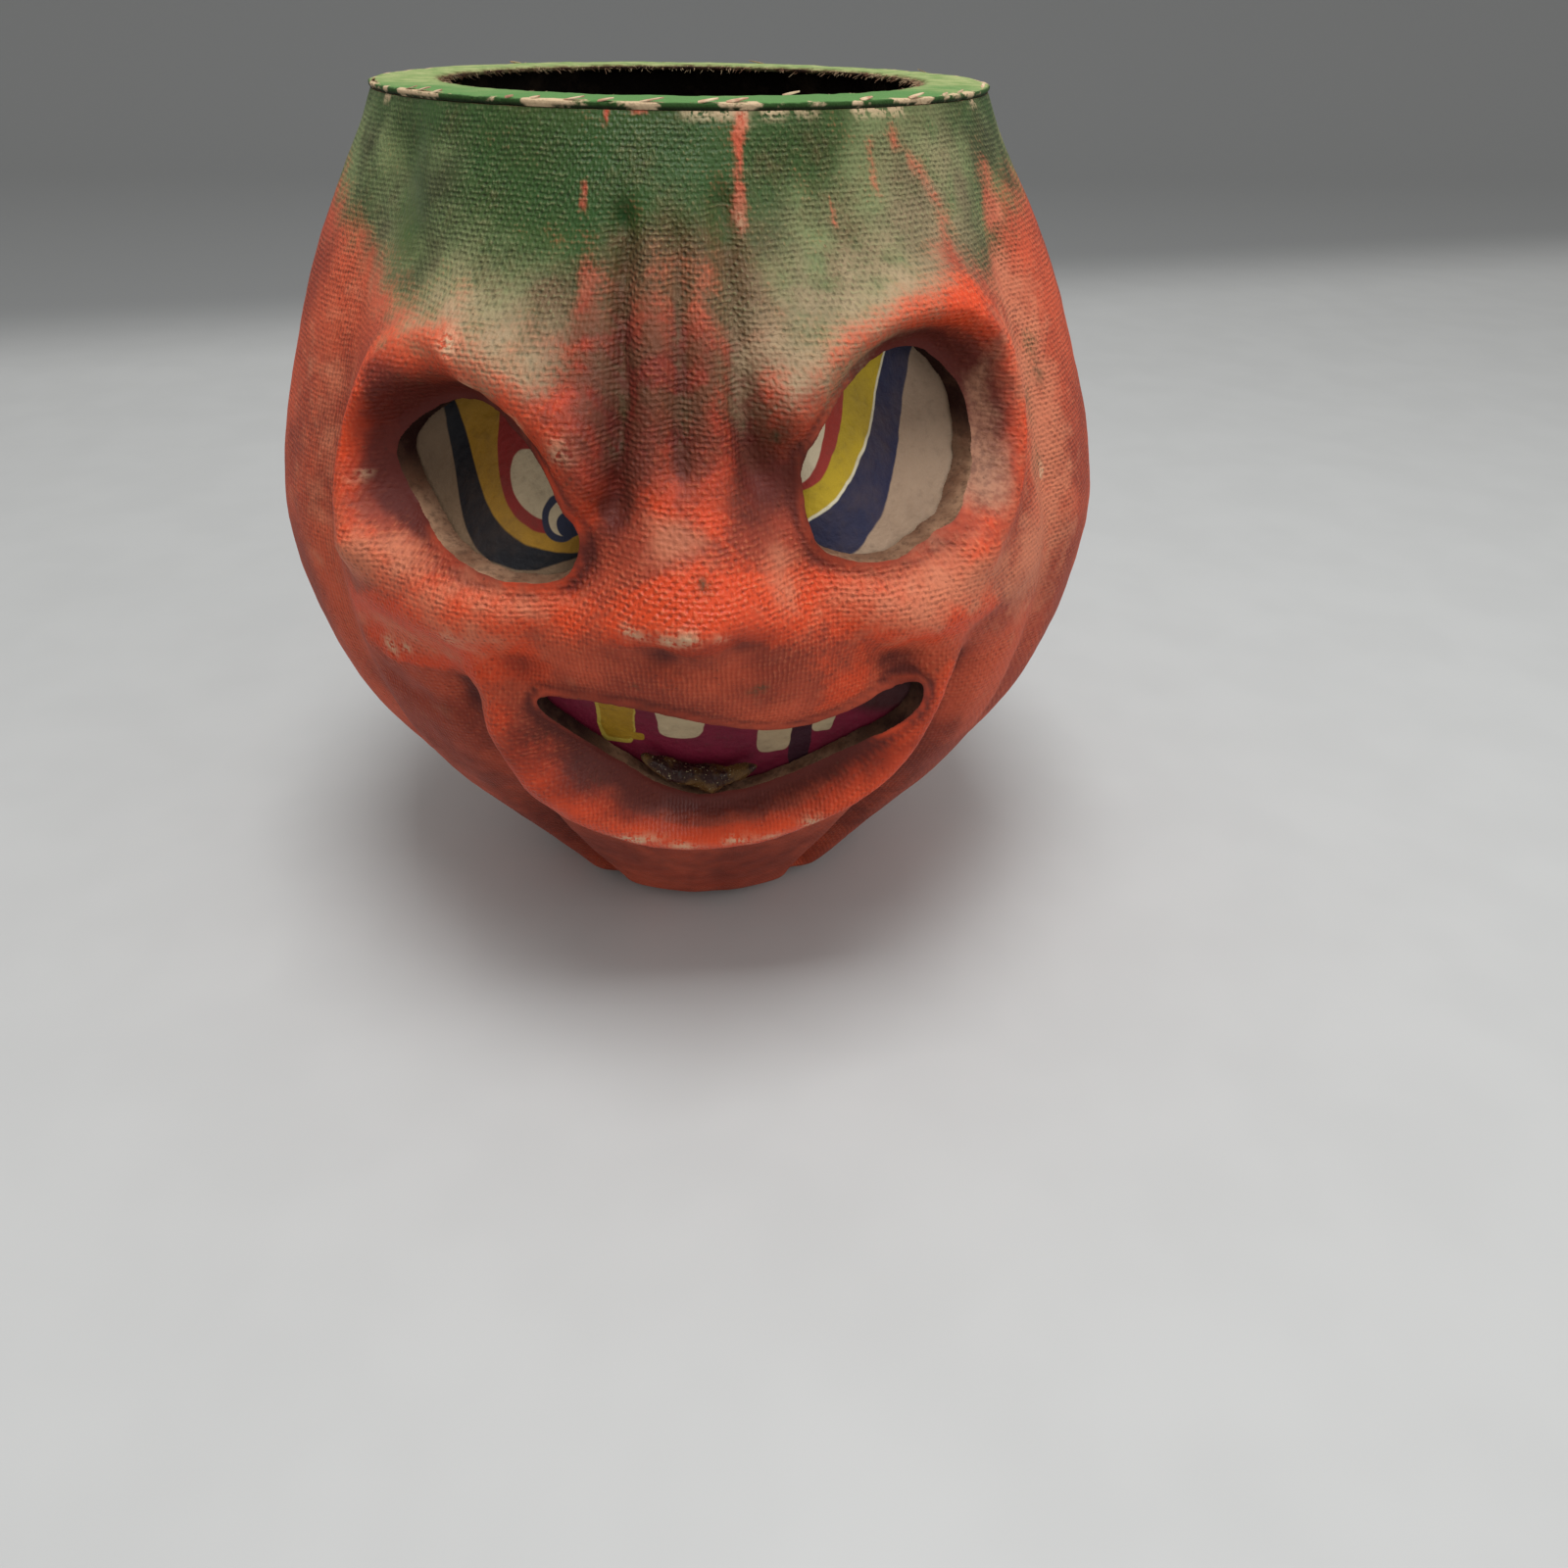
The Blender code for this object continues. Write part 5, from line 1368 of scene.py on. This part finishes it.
def glueMaterial(values):
    resin = Finish("old set glue")
    cells = resin.add("TexVoronoi", {"Scale": 900.0}, "Distance", feature="DISTANCE_TO_EDGE")
    # glints are painted highlights in a silver tone
    crack, glints = cells.between(0.10, 0.02), resin.noise(2300.0, 1.0).between(0.68, 0.73)
    large, fine = resin.noise(180.0), resin.noise(1300.0)
    plum, amber, paintedGlint = (srgb(*values[name]) for name in ("plum", "amber", "paintedGlint"))
    colour = resin.blend(large.between(0.42, 0.56), plum, amber)
    colour = resin.blend(glints, colour, paintedGlint)
    colour = resin.blend(crack * 0.7, colour, srgb(38, 22, 20))
    height = crack * -0.8 + fine * 1.2 + large
    return resin.close(colour, fine * 0.2 + 0.08, height, 0.0008, Specular_IOR_Level=0.5,
                       Specular_Tint=(0.95, 0.76, 0.50, 1.0), Coat_Weight=0.2,
                       Coat_Tint=(1.0, 0.86, 0.66, 1.0), Coat_Roughness=0.05)


def gluePiece(values):
    made = Faces()
    route = smoothRoute(values["route"], values["steps"])
    share = np.linspace(0, 1, len(route))
    swell = sum(size * bell(share - at, wide) for at, wide, size in values["lumps"])
    taper = np.sqrt(np.clip(1 - np.abs(2 * share - 1) ** 4, 0.02, 1))
    radius = ((values["radius"] + swell) * taper)[:, None]
    turn = np.linspace(0, 2 * math.pi, values["sides"], endpoint=False)
    angle = np.degrees(route[:, 0] / face["radius"])[:, None] + 0 * turn
    z = (route[:, 1] + face["noseHeight"])[:, None] + 0 * turn
    base = innerRadius(angle[:, :1], z[:, :1]) + values["lift"]
    rough = around(angle, base + 2 * np.cos(turn), z + 2 * np.sin(turn))
    knobs = sum(high * roughNoise(rough, size, seed) for size, high, seed in values["knobs"])
    radius = radius * (0.84 + knobs)
    points = around(angle, base + radius * np.cos(turn), z + radius * np.sin(turn))
    made.tube(points)
    return made.build("mouth_glue", [glueMaterial(values)], sharp=values["hardAngle"],
                      outward=True)


mouthGlue = gluePiece(glue)
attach(mouthGlue, "root")
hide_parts("mouth_glue_bead")
print("glue made")

# finishes for the solids that stay as they are


def dulledMetal(name, values):
    metal = Finish(name)
    fine, large = metal.noise(700.0, 4.0), metal.noise(120.0, 4.0)
    dirt = (fine * 0.35 + large).between(0.5, 0.85)
    colour = metal.blend(dirt, srgb(*values["metal"]), srgb(*values["dirt"]))
    metallic = metal.calc("MULTIPLY_ADD", dirt, -0.8, 1.0, use_clamp=True)
    metal.feed(metal.shader.inputs["Metallic"], metallic)
    return metal.close(colour, dirt * 0.4 + 0.36, fine, 0.0001)


def wornCard():
    card = Finish("grey-brown card")
    fine, large = card.noise(800.0, 5.0, 0.7), card.noise(90.0, 4.0)
    colour = card.blend(large.between(0.35, 0.65), srgb(150, 128, 100), srgb(122, 100, 76))
    colour = card.blend(fine.between(0.45, 0.7) * 0.4, colour, srgb(90, 74, 58))
    return card.close(colour, 0.9, fine, 0.0003)


metals = {
    "candle_cup": {"metal": (150, 148, 140), "dirt": (52, 42, 34)},
    "candle_cup_eyelet": {"metal": (164, 140, 92), "dirt": (70, 54, 36)},
}
for nodeName, values in metals.items():
    bpy.data.objects[nodeName].data.materials[0] = dulledMetal(nodeName.replace("_", " "), values)
bpy.data.objects["base_disc"].data.materials[0] = wornCard()
print("small solids finished")

# floor and light
studio = {
    "floor": (190, 192, 192), "behind": (138, 140, 141), "world": 0.50,
    "reach": 2500.0, "bendFrom": 1200.0, "bend": 900.0,     # size and curve of the floor in mm
    # the darker tone behind is painted shade, for light falling off further back
    "slant": -0.25, "darkensAt": (0.48, 0.70),              # where the tone behind sets in
    "lookAt": (0, 0, 0.08),
    # place, size, watts
    "lamps": {"key": ((0.03, -0.16, 0.93), 0.40, 5.9), "fill": ((0.70, -0.50, 0.42), 0.7, 1.7)},
}


def makeStudio(values):
    # flat floor that curves up behind, so that no horizon shows
    made = Faces()
    size, bend = values["reach"], values["bend"]
    turns = np.radians(np.linspace(0, 80, 25))
    depths = np.concatenate([[-size, 0.0], values["bendFrom"] + bend * np.sin(turns)])
    heights = np.concatenate([[0.0, 0.0], bend * (1 - np.cos(turns))])
    rows = [[(-size, y, z), (size, y, z)] for y, z in zip(depths, heights)]
    made.grid(np.array(rows, float), flip=True)
    ground = Finish("pale floor")
    x, y, z = ground.parts(ground.place)
    colour = ground.blend(ground.noise(30.0, 2.0).between(0.3, 0.7), srgb(*values["floor"]),
                          shaded(values["floor"], 0.985))
    # painted shade further back
    behind = (x * values["slant"] + y).between(*values["darkensAt"])
    colour = ground.blend(behind, colour, srgb(*values["behind"]))
    floor = made.build("floor", [ground.close(colour, 0.55)])
    world = bpy.data.worlds.new("soft light")
    world.use_nodes = True
    background = world.node_tree.nodes["Background"]
    background.inputs["Color"].default_value = (1.0, 0.985, 0.96, 1.0)
    background.inputs["Strength"].default_value = values["world"]
    scene.world = world
    for name, (place, size, energy) in values["lamps"].items():
        data = bpy.data.lights.new(name, "AREA")
        data.energy = energy
        data.size = size
        lamp = bpy.data.objects.new(name, data)
        lamp.location = place
        way = Vector(values["lookAt"]) - Vector(place)
        lamp.rotation_euler = way.to_track_quat("-Z", "Y").to_euler()
        scene.collection.objects.link(lamp)


makeStudio(studio)
scene.view_settings.view_transform = "Standard"
print("floor and light set")
